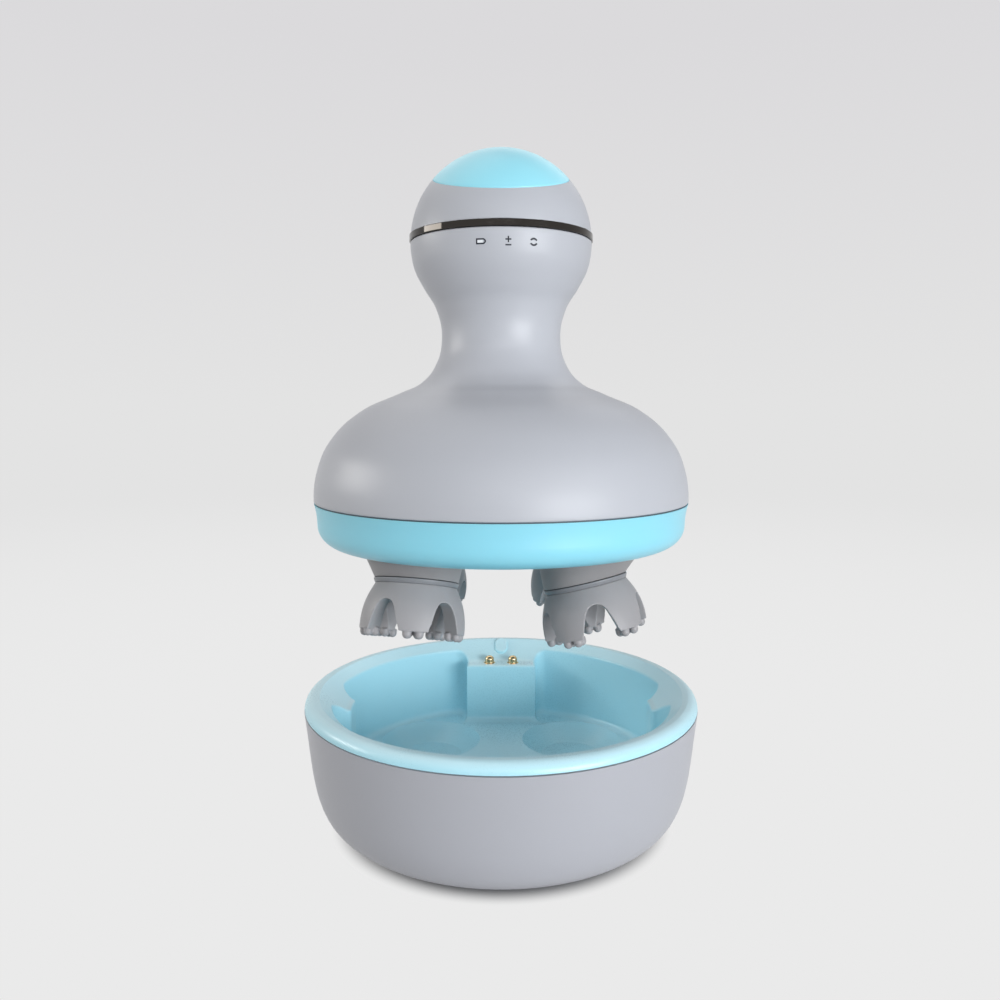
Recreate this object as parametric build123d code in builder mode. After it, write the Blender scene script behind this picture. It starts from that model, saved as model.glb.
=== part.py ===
from build123d import *
from math import acos, atan, atan2, cos, degrees, hypot, pi, radians, sin, sqrt, tan
import os

os.makedirs("parts", exist_ok=True)

# Electric scalp massager above its charging base, millimetres.
# Origin: centre of the base's footprint, +Z up, +Y towards the contact block.
# The massager stands off its base by dock_travel, the height it is lifted by.

# ---------- clearances ----------
running_gap = 0.05        # shaft in its bore
boot_gap = 0.15           # boot against ring and claw hub
thrust_gap = 0.2          # end play of turning parts
button_gap = 0.2          # round the button
seat_gap = 0.08           # massager ring against the base lip when docked
tip_clearance = 0.7       # claw tips to the dishes when docked
side_clearance = 0.13     # claw tips inside the well wall when docked

# ---------- base: bowl and tray ----------
foot_proud = 0.6          # rubber foot below the bowl
bowl_top_z = 33.8
bowl_tuck = 17.85         # flat bottom in from the rim
bowl_belly = 21.0         # handles of the bowl's side curve
bowl_lean = 2.55
bowl_heel = 1.25
bowl_wall = 2.0
bowl_flange = 2.4         # tray flange below the bowl's rim
rim_width = 2.65          # rounded rim outside the crest
rim_round_side = 0.75
rim_round_drop = 0.95
rim_tuck = 0.05
rim_seam = 0.35           # shadow gap between bowl and tray rim
crest_z = 36.86
crest_width = 1.4
crest_step = 6.0          # crest outside the flat of the massager's ring
well_step = 2.8           # upright wall of the well outside that flat
lip_slope = 0.74          # rise over run of the conical lip
lip_round = 0.8
tray_wall = 1.5
floor_z = 13.0
floor_fillet = 2.0
plate_inset = 2.2
plate_thickness = 2.0
plate_fit = 0.2
foot_inset = 3.5
foot_width = 4.0
foot_depth = 1.0          # foot seated in its groove

# ---------- base: ledges, contact block, charging ----------
ledge_z = 31.5
ledge_depth = 5.1
ledge_half = 4.5
ledge_flare = 6.0
ledge_lean = 0.15
ledge_blend = 3.0         # hollow between ledge top and lip
ledge_nose = 1.5
ledge_nook = 4.0
block_half = 11.0
block_depth = 9.8
block_corner = 4.0
block_blend = 3.0
key_width = 4.2
key_length = 6.2
key_proud = 0.8
key_round = 0.7
key_gap = 0.3
contact_pitch = 7.6
contact_inset = 3.6       # contacts behind the block's front
contact_pin_r = 1.45
contact_barrel_r = 1.9
contact_dome = 1.16
contact_travel = 1.2
contact_length = 9.0
contact_air = 0.1         # pin dome to charge pad when docked
boss_margin = 2.8         # base screw boss in from the charge board
board_margin = 3.9
board_length = 20.5
board_half = 6.6
board_corner = 1.5
peg_place = 4.6
peg_inset = 3.0
peg_r = 1.2
screw_recess = 1.2
screw_bite = 4.0
board_z = 5.0
board_thickness = 1.2
chip_size = 3.0
chip_height = 1.0
usb_width = 9.0
usb_height = 3.2
usb_depth = 6.7
usb_wall = 0.3
usb_setback = 4.6         # inlet mouth in from the rim
tongue_inset = 1.3
tongue_thickness = 0.7
tongue_back = 1.0

# ---------- massager body ----------
ring_height = 11.45
ring_corner = 5.5
ring_draft = 0.8
ring_step = 0.05          # ring inside the shell at the seam
ring_plate = 2.0
spigot_height = 3.2
spigot_wall = 1.0
spigot_gap = 0.45
gasket = 0.3
shell_r = 50.35
shell_wall = 2.1
neck_r = 15.9
ball_r = 24.0
ball_z = 68.0             # ball centre above the ring seam
ball_wall = 2.0
grip_drop = 7.0           # neck runs into the ball this far below its centre
band_z = 68.1
band_height = 1.8
band_proud = 0.4
band_sleeve = 1.1
sleeve_low = 2.0          # sleeve inside the ball, below and above the band
sleeve_high = 1.0
dock_travel = 44.7

# ---------- button ----------
button_tilt = 19.7
button_angle = 46.8       # half angle of the cap seen from the ball centre
button_wall = 2.0
button_travel = 0.9
button_flange = 0.65
flange_thickness = 1.2
stem_r = 2.5
board_inset = 7.0         # control board in from the ball's surface
board_height = 6.0        # control board above the ball centre, along the button axis
chip_place = 8.6          # its chips from the switch
switch_size = 6.0
switch_height = 3.5
plunger_r = 1.6

# ---------- drive ----------
deck_thickness = 2.0
window_place_r = 21.76
window_length = 7.0
window_width = 4.0
motor_r = 12.0
motor_length = 19.0
gearbox_r = 13.5
gearbox_length = 8.0
gearbox_end = 0.6         # wall above the output shaft
output_r = 2.5
battery_r = 9.15
battery_length = 34.0
battery_cap = 1.0
holder_wall = 1.3
holder_short = 3.0        # sleeve ends below the cell's top
prop_r = 2.0              # props under the control board
prop_length = 6.5
prop_side = 10.0
prop_back = 6.0
rib_low = 41.0            # centring ribs above the ring seam
rib_height = 5.0
sun_teeth = 20
crank_teeth = 18
pressure_angle = 20.0
backlash = 0.16
gear_width = 5.0
gear_top = 1.0            # top face of the teeth above the ring seam
hub_r = 4.5
sun_hub_r = 5.0
shaft_r = 2.0
crank_pin_r = 2.25
post_r = 3.2
post_inset = 16.35
screw_r = 1.25
screw_head_r = 2.3
screw_head_height = 1.6
screw_socket_r = 0.9
case_screw_bite = 9.0     # case screws into the shell bosses
light_board_z = 62.4      # above the ring seam
light_inset = 3.8
light_seat = 3.0
lamp_inset = 1.6
lamp_height = 0.7
lamp_angle = 27.0         # outer lamps to either side of the front

# ---------- claws ----------
claw_tilt = 16.0
claw_reach = 21.8         # ring underside to claw tips, upright
nod_height = 13.0         # nod centre above the claw tips
claw_tip_r = 13.2
claw_neck_r = 10.1
claw_length = 16.0        # lip to tips
nodule_r = 1.15
nodule_length = 2.0
nodule_pitch = 2.9        # across a finger
nodule_row = 2.2          # from the outer row to the inner row
nodule_taper = 0.2        # inner row closer together
nodule_edge = 1.2
fingers = 5
arch_rise = 9.6           # arch crown above the tips
arch_r = 2.4
arch_flare = 26.0
claw_hollow_r = 7.4
claw_mouth_r = 8.6
hollow_bow = 0.4
claw_belly_z = -4.8       # height of the bell's widest bow, from the nod centre
claw_belly_in = 1.1
bell_inset = 0.1          # finger ends inside the swept radius
claw_crown = 3.0
lip_r = 10.7
lip_thickness = 1.2
lip_swell = 0.25
boot_wall = 1.0
boot_tuck = 0.2           # boot's low end inside the lip
collar_r = 12.75
collar_height = 2.4
hub_flange_r = 6.5
hub_flange = 1.4
hub_tube_r = 4.3
hub_foot_r = 5.3
hub_top = 9.1             # bearing tube above the nod centre
pin_head_r = 3.6
pin_head = 1.2
claw_screw_bite = 5.5
web_half = 2.6
web_thickness = 2.0
web_rise = 1.4            # web above the gear's underside
bush_height = 2.0
bush_r = 4.0
clip_r = 3.2
clip_thickness = 0.8
motor_screw_x = 9.5
motor_screw_r = 1.0
motor_screw_head = 1.4
motor_screw_bite = 3.5
pad_r = 2.2
pad_flange = 0.6

# side line from the seam to the ball: shares of the way in from shell to neck, and of the ball's height
side_shape = [(0.0319, 0.125), (0.1321, 0.2353), (0.3585, 0.3456), (0.6691, 0.4191), (0.8345, 0.4588),
              (0.9507, 0.5294), (1.0, 0.6397), (0.9565, 0.75), (0.8694, 0.8235)]

# ---------- places worked out from the sizes ----------
ring_top_r = shell_r - ring_step
ring_flat_r = ring_top_r - ring_draft - ring_corner
well_r = ring_flat_r + well_step
crest_inner_r = ring_flat_r + crest_step
crest_outer_r = crest_inner_r + crest_width
bowl_rim_r = crest_outer_r + rim_width
bowl_bottom_r = bowl_rim_r - bowl_tuck
plate_r = bowl_bottom_r - plate_inset
foot_r = plate_r - foot_inset
ledge_inner_r = well_r - ledge_depth
block_front_y = well_r - block_depth
contact_y = block_front_y + contact_inset
board_back_y = contact_y + board_margin
board_front_y = board_back_y - board_length
boss_place_r = board_front_y - boss_margin - post_r
post_place_r = shell_r - post_inset
lip_length = hypot(1, lip_slope)
lip_bottom_z = crest_z - (crest_inner_r - well_r) * lip_slope
# the ring's rounded corner rests on the cone: corner centre to cone equals corner radius
docked_ring_z = (crest_z - ring_corner - (crest_inner_r - ring_flat_r) * lip_slope
                 + (ring_corner + seat_gap) * lip_length)
seam_z = docked_ring_z + ring_height + dock_travel
ring_z = seam_z - ring_height
ball_centre = (0, 0, seam_z + ball_z)
board_r = ball_r - board_inset
light_board_r = ball_r - light_inset
nod_drop = claw_reach - nod_height
nod_z = ring_z - nod_drop
tip_swing = nod_height * sin(radians(claw_tilt)) + claw_tip_r * cos(radians(claw_tilt))
dish_r = tip_swing + side_clearance
# the heads stand as far out as the well allows, and the gears' module follows
head_radius = well_r - dish_r
head_place = head_radius / sqrt(2)
gear_module = 2 * head_radius / (sun_teeth + crank_teeth)
docked_nod_z = docked_ring_z - nod_drop
dish_ball_r = hypot(nod_height, claw_tip_r) + tip_clearance
dish_z = (docked_nod_z - nod_height * cos(radians(claw_tilt)) - claw_tip_r * sin(radians(claw_tilt))
          - tip_clearance)
dish_edge_z = docked_nod_z - sqrt(dish_ball_r**2 - dish_r**2)
deck_z = seam_z + spigot_height
gear_bottom_z = seam_z + gear_top - gear_width
plate_top_z = foot_proud + plate_thickness
pin_top_z = docked_ring_z - contact_air

# each head: name, place, direction its claw leans to, direction of one finger
heads = [
    ("front_right", (head_place, -head_place), -34.0, 90.0),
    ("front_left", (-head_place, -head_place), 254.0, -83.0),
    ("back_left", (-head_place, head_place), 146.0, 90.0),
    ("back_right", (head_place, head_place), 74.0, -90.0),
]


def keep(part, name):
    part.label = name
    export_step(part, f"parts/{name}.step")


def inset(curve, wall, count, side):
    # points at one wall thickness beside a curve drawn as (radius, height)
    points = []
    for step in range(count + 1):
        at = curve @ (step / count)
        along = curve % (step / count)
        points.append((at.X - side * along.Y * wall, at.Y + side * along.X * wall))
    return points


def lean_plane(place, lean):
    # the claw's own frame: origin at the nod centre, +Z up its leaning axis
    tilt, turn = radians(claw_tilt), radians(lean)
    up = Vector(-sin(tilt) * cos(turn), -sin(tilt) * sin(turn), cos(tilt))
    across = Vector(1, 0, 0) - up * up.X
    return Plane(origin=(place[0], place[1], nod_z), x_dir=across, z_dir=up)


# ================= charging base =================
bowl_line = Bezier(
    (bowl_rim_r, bowl_top_z),
    (bowl_rim_r - bowl_lean, bowl_top_z - bowl_belly),
    (bowl_rim_r - bowl_heel, foot_proud),
    (bowl_bottom_r, foot_proud),
)
bowl_inside = inset(bowl_line, bowl_wall, 6, -1)
flange_z = bowl_top_z - bowl_flange
usb_z = board_z + board_thickness + usb_height / 2
usb_mouth_y = bowl_rim_r - usb_setback
usb_back_y = usb_mouth_y - usb_depth

with BuildPart() as outer_bowl:
    with BuildSketch(Plane.XZ):
        with BuildLine():
            add(bowl_line)
            Line(bowl_line @ 1, (plate_r + plate_fit, foot_proud))
            Line((plate_r + plate_fit, foot_proud), (plate_r + plate_fit, plate_top_z))
            Line((plate_r + plate_fit, plate_top_z), bowl_inside[-1])
            Spline(*reversed(bowl_inside))
            Line(bowl_inside[0], bowl_line @ 0)
        make_face()
    revolve(axis=Axis.Z)
    # inlet for the charging plug in the back wall
    with BuildSketch(Plane.XZ.offset(-usb_back_y)):
        with Locations((0, usb_z)):
            SlotOverall(usb_width + 2 * plate_fit, usb_height + 2 * plate_fit)
    extrude(amount=-2 * usb_depth, mode=Mode.SUBTRACT)
keep(outer_bowl.part, "outer_bowl")

# the lip's cone runs down into the ledge tops with a soft hollow
rim_start = (bowl_rim_r - rim_tuck, bowl_top_z + rim_seam)
spigot_out_r = bowl_rim_r - bowl_wall - plate_fit
slope_foot_r = well_r - (lip_bottom_z - ledge_z) / lip_slope
blend_reach = ledge_blend * tan(atan(lip_slope) / 2)
blend_start = (slope_foot_r - blend_reach, ledge_z)
blend_end = (slope_foot_r + blend_reach / lip_length, ledge_z + blend_reach * lip_slope / lip_length)


def ledge_outline():
    # column whose flanks flare into the wall
    edge_x = sqrt(ledge_inner_r**2 - ledge_half**2)
    wall_half = ledge_half + ledge_flare
    wall_x = sqrt(well_r**2 - wall_half**2)
    with BuildSketch(mode=Mode.PRIVATE) as outline:
        with BuildLine():
            ThreePointArc((edge_x, -ledge_half), (ledge_inner_r, 0), (edge_x, ledge_half))
            TangentArc((edge_x, ledge_half), (wall_x, wall_half), tangent=(1, ledge_lean))
            ThreePointArc((wall_x, wall_half), (well_r + tray_wall, 0), (wall_x, -wall_half))
            TangentArc((edge_x, -ledge_half), (wall_x, -wall_half), tangent=(1, -ledge_lean))
        make_face()
    return outline.sketch


def well_walls(work):
    # the upright faces round the well
    return work.faces().filter_by(lambda face: abs(face.normal_at().Z) < 0.001
                                  and face.bounding_box().min.Z > floor_z - 0.01
                                  and hypot(face.center().X, face.center().Y) < well_r + 0.2)


def key_form(spare):
    # rounded key on the lip behind the contacts, grown all round by the spare room
    half_length = key_length / 2 / lip_length
    on_lip = Plane(origin=(0, crest_inner_r - half_length, crest_z - half_length * lip_slope),
                   x_dir=(1, 0, 0), z_dir=(0, -lip_slope / lip_length, 1 / lip_length))
    with BuildPart(mode=Mode.PRIVATE) as key:
        with BuildSketch(on_lip.offset(-tray_wall / 2)):
            SlotOverall(key_length + 2 * spare, key_width + 2 * spare, rotation=90)
        extrude(amount=tray_wall / 2 + key_proud + spare)
        fillet(key.faces().sort_by(Axis((0, 0, 0), on_lip.z_dir))[-1].edges(), key_round)
    return key.part


with BuildPart() as tray:
    with BuildSketch(Plane.XZ):
        with BuildLine():
            Line((0, ledge_z), blend_start)
            TangentArc(blend_start, blend_end, tangent=(1, 0))
            Polyline(blend_end, (crest_inner_r, crest_z), (crest_outer_r, crest_z))
            ThreePointArc((crest_outer_r, crest_z), (bowl_rim_r - rim_round_side, crest_z - rim_round_drop),
                          rim_start)
            Polyline(rim_start, (spigot_out_r, bowl_top_z + rim_seam), (spigot_out_r - plate_fit, flange_z),
                     (well_r + tray_wall, flange_z), (well_r + tray_wall, floor_z))
            RadiusArc((well_r + tray_wall, floor_z), (well_r, floor_z - tray_wall), tray_wall)
            Polyline((well_r, floor_z - tray_wall), (0, floor_z - tray_wall), (0, ledge_z))
        make_face()
    revolve(axis=Axis.Z)
    # the well, one pocket round the ledges and the contact block
    wall_half = ledge_half + ledge_flare
    with BuildSketch(Plane.XY.offset(floor_z)) as pocket:
        Circle(well_r)
        for turn in (-90, 0, 180):
            add(ledge_outline(), rotation=turn, mode=Mode.SUBTRACT)
        with Locations((0, well_r)):
            Rectangle(2 * block_half, 2 * block_depth, mode=Mode.SUBTRACT)
        block_ends = pocket.vertices().filter_by(lambda point: abs(abs(point.X) - block_half) < 0.01)
        fillet(block_ends.filter_by(lambda point: point.Y > block_front_y + 0.01), block_blend)
        fillet(block_ends.filter_by(lambda point: abs(point.Y - block_front_y) < 0.01), block_corner)
        for off_axis, out_r, rounding in (
            (wall_half, well_r, ledge_nook),
            (ledge_half, ledge_inner_r, ledge_nose),
        ):
            fillet(pocket.vertices().filter_by(lambda point: abs(hypot(point.X, point.Y) - out_r) < 0.01
                                               and abs(min(abs(point.X), abs(point.Y)) - off_axis) < 0.01),
                   rounding)
    extrude(amount=crest_z - floor_z, mode=Mode.SUBTRACT)
    top_loop = well_walls(tray).edges().filter_by(lambda edge: edge.bounding_box().min.Z > ledge_z - 0.01)
    fillet(top_loop, lip_round)
    floor_loop = well_walls(tray).edges().filter_by(lambda edge: edge.bounding_box().max.Z < floor_z + 0.01)
    fillet(floor_loop, floor_fillet)
    # dishes that the claw heads hang in: the tips swing on a sphere about the nod centre
    for _, place, _, _ in heads:
        dish_plane = Plane(origin=(place[0], place[1], 0), x_dir=(1, 0, 0), z_dir=(0, -1, 0))
        dish_forms = (
            (dish_ball_r + tray_wall, dish_z - tray_wall, floor_z - tray_wall, floor_z, Mode.ADD),
            (dish_ball_r, dish_z, dish_edge_z, floor_z + floor_fillet + tray_wall, Mode.SUBTRACT),
        )
        for ball, low, edge, top, how in dish_forms:
            flat = sqrt(ball**2 - (docked_nod_z - low)**2)
            wide = sqrt(ball**2 - (docked_nod_z - edge)**2)
            with BuildSketch(dish_plane):
                with BuildLine():
                    Line((0, low), (flat, low))
                    RadiusArc((flat, low), (wide, edge), -ball)
                    Polyline((wide, edge), (wide, top), (0, top), (0, low))
                make_face()
            revolve(axis=Axis((place[0], place[1], 0), (0, 0, 1)), mode=how)
    # the block is cored from below and bored for the contacts
    with BuildSketch(Plane.XY.offset(floor_z - tray_wall)):
        with Locations((0, (block_front_y + well_r) / 2)):
            RectangleRounded(2 * (block_half - tray_wall), well_r - block_front_y - 2 * tray_wall,
                             block_corner - tray_wall)
    extrude(amount=ledge_z - floor_z, mode=Mode.SUBTRACT)
    with BuildSketch(Plane.XY.offset(ledge_z - 2 * tray_wall)):
        with Locations((-contact_pitch / 2, contact_y), (contact_pitch / 2, contact_y)):
            Circle(contact_barrel_r)
    extrude(amount=crest_z - ledge_z + 2 * tray_wall, mode=Mode.SUBTRACT)
    add(key_form(0))
    # screw bosses for the base plate
    with BuildSketch(Plane.XY.offset(plate_top_z)):
        with PolarLocations(boss_place_r, 4):
            Circle(post_r)
    extrude(amount=floor_z - tray_wall - plate_top_z)
    with BuildSketch(Plane.XY.offset(plate_top_z)):
        with PolarLocations(boss_place_r, 4):
            Circle(screw_r)
    extrude(amount=floor_z - 2 * tray_wall - plate_top_z, mode=Mode.SUBTRACT)
keep(tray.part, "tray")

with BuildPart() as base_plate:
    with BuildSketch(Plane.XY.offset(foot_proud)):
        Circle(plate_r)
    extrude(amount=plate_thickness)
    with BuildSketch(Plane.XY.offset(foot_proud)):
        Circle(foot_r + foot_width / 2)
        Circle(foot_r - foot_width / 2, mode=Mode.SUBTRACT)
    extrude(amount=foot_depth, mode=Mode.SUBTRACT)
    with BuildSketch(Plane.XY.offset(foot_proud)):
        with PolarLocations(boss_place_r, 4):
            Circle(screw_r + plate_fit)
    extrude(amount=plate_thickness, mode=Mode.SUBTRACT)
    with BuildSketch(Plane.XY.offset(foot_proud)):
        with PolarLocations(boss_place_r, 4):
            Circle(screw_head_r + plate_fit)
    extrude(amount=screw_recess, mode=Mode.SUBTRACT)
keep(base_plate.part, "base_plate")

with BuildPart() as foot_ring:
    with BuildSketch(Plane.XY):
        Circle(foot_r + foot_width / 2)
        Circle(foot_r - foot_width / 2, mode=Mode.SUBTRACT)
    extrude(amount=foot_proud + foot_depth)
    fillet(foot_ring.edges().group_by(Axis.Z)[0], foot_proud / 2)
keep(foot_ring.part, "foot_ring")

with BuildPart() as base_screws:
    with BuildSketch(Plane.XY.offset(foot_proud + screw_recess - screw_head_height / 2)):
        with PolarLocations(boss_place_r, 4):
            Circle(screw_head_r)
    extrude(amount=screw_head_height / 2)
    with BuildSketch(Plane.XY.offset(foot_proud + screw_recess)):
        with PolarLocations(boss_place_r, 4):
            Circle(screw_r)
    extrude(amount=plate_thickness + screw_bite)
keep(base_screws.part, "base_screws")

# ---------- charging electronics ----------
board_top_z = board_z + board_thickness
with BuildPart() as charge_board:
    with BuildSketch(Plane.XY.offset(board_z)):
        with Locations((0, (board_front_y + board_back_y) / 2)):
            RectangleRounded(2 * board_half, board_back_y - board_front_y, board_corner)
    extrude(amount=board_thickness)
    # stand-off pegs down to the base plate
    with BuildSketch(Plane.XY.offset(plate_top_z)):
        with Locations((-peg_place, board_front_y + peg_inset), (peg_place, board_front_y + peg_inset)):
            Circle(peg_r)
    extrude(amount=board_z - plate_top_z)
    # small parts on the board
    with BuildSketch(Plane.XY.offset(board_top_z)):
        with Locations((-chip_size, board_front_y + chip_size), (chip_size, board_front_y + chip_size)):
            Rectangle(chip_size, 0.75 * chip_size)
    extrude(amount=chip_height)
keep(charge_board.part, "charge_board")

with BuildPart() as usb_socket:
    with BuildSketch(Plane.XZ.offset(-usb_back_y)):
        with Locations((0, usb_z)):
            SlotOverall(usb_width, usb_height)
    extrude(amount=-usb_depth)
    with BuildSketch(Plane.XZ.offset(-usb_mouth_y)):
        with Locations((0, usb_z)):
            SlotOverall(usb_width - 2 * usb_wall, usb_height - 2 * usb_wall)
    extrude(amount=usb_depth - tongue_back, mode=Mode.SUBTRACT)
    # contact tongue
    with BuildSketch(Plane.XZ.offset(-usb_back_y - tongue_back)):
        with Locations((0, usb_z)):
            Rectangle(usb_width - 2 * tongue_inset, tongue_thickness)
    extrude(amount=2 * tongue_back - usb_depth)
keep(usb_socket.part, "usb_socket")

with BuildPart() as contact_barrels:
    with BuildSketch(Plane.XY.offset(board_top_z)):
        with Locations((-contact_pitch / 2, contact_y), (contact_pitch / 2, contact_y)):
            Circle(contact_barrel_r)
    extrude(amount=ledge_z - board_top_z)
    pin_foot_z = pin_top_z - contact_length
    with BuildSketch(Plane.XY.offset(ledge_z)):
        with Locations((-contact_pitch / 2, contact_y), (contact_pitch / 2, contact_y)):
            Circle(contact_pin_r + running_gap)
    extrude(amount=-(ledge_z - pin_foot_z + contact_travel + thrust_gap), mode=Mode.SUBTRACT)
keep(contact_barrels.part, "contact_barrels")

for side, place_x in (("left", -contact_pitch / 2), ("right", contact_pitch / 2)):
    with BuildPart() as contact_pin:
        with BuildSketch(Plane.XY.offset(pin_foot_z)):
            with Locations((place_x, contact_y)):
                Circle(contact_pin_r)
        extrude(amount=contact_length)
        fillet(contact_pin.edges().group_by(Axis.Z)[-1], contact_dome)
    keep(contact_pin.part, f"contact_pin_{side}")

# ================= massager housing =================
# half outline from the ring seam over the dome and in at the neck to the ball
grip_z = ball_z - grip_drop
grip_slope = grip_drop / ball_r
dome_line = Spline(
    (shell_r, 0),
    *[(shell_r - share * (shell_r - neck_r), height * ball_z) for share, height in side_shape],
    (ball_r * sqrt(1 - grip_slope**2), grip_z),
    tangents=((0, 1), (grip_slope, sqrt(1 - grip_slope**2))),
)
dome_inside = inset(dome_line, shell_wall, 18, 1)
inner_ball_r = ball_r - ball_wall
seam_plane = Plane(origin=(0, 0, seam_z), x_dir=(1, 0, 0), z_dir=(0, -1, 0))

with BuildPart() as dome_form:
    with BuildSketch(seam_plane):
        with BuildLine():
            Line((0, 0), dome_line @ 0)
            add(dome_line)
            ThreePointArc(dome_line @ 1, (sqrt(ball_r**2 - (grip_drop / 2)**2), ball_z - grip_drop / 2),
                          (ball_r, ball_z))
            Line((ball_r, ball_z), (0, ball_z))
            Line((0, ball_z), (0, 0))
        make_face()
    revolve(axis=Axis.Z)

with BuildPart() as main_shell:
    with BuildSketch(seam_plane):
        inner_join = (sqrt(inner_ball_r**2 - (ball_z - dome_inside[-1][1])**2), dome_inside[-1][1])
        dome_inside[-1] = inner_join
        with BuildLine():
            add(dome_line)
            ThreePointArc(dome_line @ 1, (sqrt(ball_r**2 - (grip_drop / 2)**2), ball_z - grip_drop / 2),
                          (ball_r, ball_z))
            Line((ball_r, ball_z), (inner_ball_r, ball_z))
            ThreePointArc((inner_ball_r, ball_z),
                          (sqrt(inner_ball_r**2 - (grip_drop / 2)**2), ball_z - grip_drop / 2), inner_join)
            Spline(*reversed(dome_inside))
            Line(dome_inside[0], dome_line @ 0)
        make_face()
    revolve(axis=Axis.Z)
    # screw bosses hanging from the dome
    with BuildSketch(Plane.XY.offset(deck_z + deck_thickness)):
        with PolarLocations(post_place_r, 4):
            Circle(post_r)
    extrude(amount=ball_z / 2)
    add(dome_form.part, mode=Mode.INTERSECT)
    with BuildSketch(Plane.XY.offset(deck_z + deck_thickness)):
        with PolarLocations(post_place_r, 4):
            Circle(screw_r)
    extrude(amount=case_screw_bite + thrust_gap, mode=Mode.SUBTRACT)
keep(main_shell.part, "main_shell")

# ball parts are drawn about the ball centre; the button's axis leans forward
ball_plane = Plane(origin=ball_centre, x_dir=(1, 0, 0), z_dir=(0, -1, 0))
lean = radians(button_tilt)
button_plane = Plane(origin=ball_centre, x_dir=(1, 0, 0), z_dir=(0, -sin(lean), cos(lean)))
button_side = Plane(origin=ball_centre, x_dir=(1, 0, 0), z_dir=button_plane.y_dir)
button_r = ball_r * sin(radians(button_angle))
opening_r = button_r + button_gap
band_low = band_z - ball_z
band_high = band_low + band_height
band_gap = 0.05

with BuildPart() as head_shell:
    with BuildSketch(ball_plane):
        with BuildLine():
            outer_low = (sqrt(ball_r**2 - band_high**2), band_high)
            inner_low = (sqrt(inner_ball_r**2 - band_high**2), band_high)
            ThreePointArc(outer_low, (ball_r * cos(pi / 4), ball_r * sin(pi / 4)), (0, ball_r))
            Line((0, ball_r), (0, inner_ball_r))
            ThreePointArc((0, inner_ball_r), (inner_ball_r * cos(pi / 4), inner_ball_r * sin(pi / 4)),
                          inner_low)
            Line(inner_low, outer_low)
        make_face()
    revolve(axis=Axis(ball_centre, (0, 0, 1)))
    with BuildSketch(button_plane):
        Circle(opening_r)
    extrude(amount=ball_r + 1, mode=Mode.SUBTRACT)
keep(head_shell.part, "head_shell")

with BuildPart() as indicator_band:
    with BuildSketch(ball_plane):
        with BuildLine():
            sleeve_r = sqrt(inner_ball_r**2 - (band_high + sleeve_high)**2) - band_gap
            Polyline((sleeve_r - band_sleeve, band_low - sleeve_low), (sleeve_r, band_low - sleeve_low),
                     (sleeve_r, band_low + band_gap), (ball_r, band_low + band_gap))
            ThreePointArc((ball_r, band_low + band_gap),
                          (ball_r + band_proud, (band_low + band_high) / 2),
                          (ball_r, band_high - band_gap))
            Polyline((ball_r, band_high - band_gap), (sleeve_r, band_high - band_gap),
                     (sleeve_r, band_high + sleeve_high), (sleeve_r - band_sleeve, band_high + sleeve_high),
                     (sleeve_r - band_sleeve, band_low - sleeve_low))
        make_face()
    revolve(axis=Axis(ball_centre, (0, 0, 1)))
keep(indicator_band.part, "indicator_band")

# ---------- button ----------
button_inner_r = ball_r - button_wall
flange_r = opening_r + button_flange
flange_top = sqrt(inner_ball_r**2 - flange_r**2) - running_gap
flange_low = flange_top - flange_thickness
skirt_r = opening_r - button_gap
with BuildPart() as top_button:
    with BuildSketch(button_side):
        with BuildLine():
            cap_edge = sqrt(ball_r**2 - skirt_r**2)
            cap_inner = sqrt(button_inner_r**2 - (skirt_r - button_wall)**2)
            ThreePointArc((0, -ball_r), (ball_r * sin(pi / 8), -ball_r * cos(pi / 8)), (skirt_r, -cap_edge))
            Polyline((skirt_r, -cap_edge), (skirt_r, -flange_top), (flange_r, -flange_top),
                     (flange_r, -flange_low), (skirt_r - button_wall, -flange_low),
                     (skirt_r - button_wall, -cap_inner))
            ThreePointArc((skirt_r - button_wall, -cap_inner),
                          (button_inner_r * sin(pi / 8), -button_inner_r * cos(pi / 8)),
                          (0, -button_inner_r))
            Line((0, -button_inner_r), (0, -ball_r))
        make_face()
    revolve(axis=Axis(ball_centre, button_plane.z_dir))
    # stem to the switch
    plunger_top = board_height + board_thickness + switch_height + button_travel + thrust_gap
    with BuildSketch(button_plane.offset(plunger_top)):
        Circle(stem_r)
    extrude(amount=button_inner_r + button_wall / 4 - plunger_top)
keep(top_button.part, "top_button")

with BuildPart() as switch_plunger:
    with BuildSketch(button_plane.offset(board_height + board_thickness + button_travel + 2 * thrust_gap)):
        Circle(plunger_r)
    extrude(amount=plunger_top - board_height - board_thickness - button_travel - 2 * thrust_gap)
keep(switch_plunger.part, "switch_plunger")

with BuildPart() as tact_switch:
    with BuildSketch(button_plane.offset(board_height + board_thickness)):
        RectangleRounded(switch_size, switch_size, switch_size / 10)
    extrude(amount=switch_height)
    with BuildSketch(button_plane.offset(board_height + board_thickness + thrust_gap)):
        Circle(plunger_r + running_gap)
    extrude(amount=switch_height, mode=Mode.SUBTRACT)
keep(tact_switch.part, "tact_switch")

with BuildPart() as control_board:
    with BuildSketch(button_plane.offset(board_height)):
        Circle(board_r)
    extrude(amount=board_thickness)
    with BuildSketch(button_plane.offset(board_height + board_thickness)):
        with PolarLocations(chip_place, 3, start_angle=30):
            Rectangle(chip_size, chip_size)
    extrude(amount=chip_height)
keep(control_board.part, "control_board")

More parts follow.
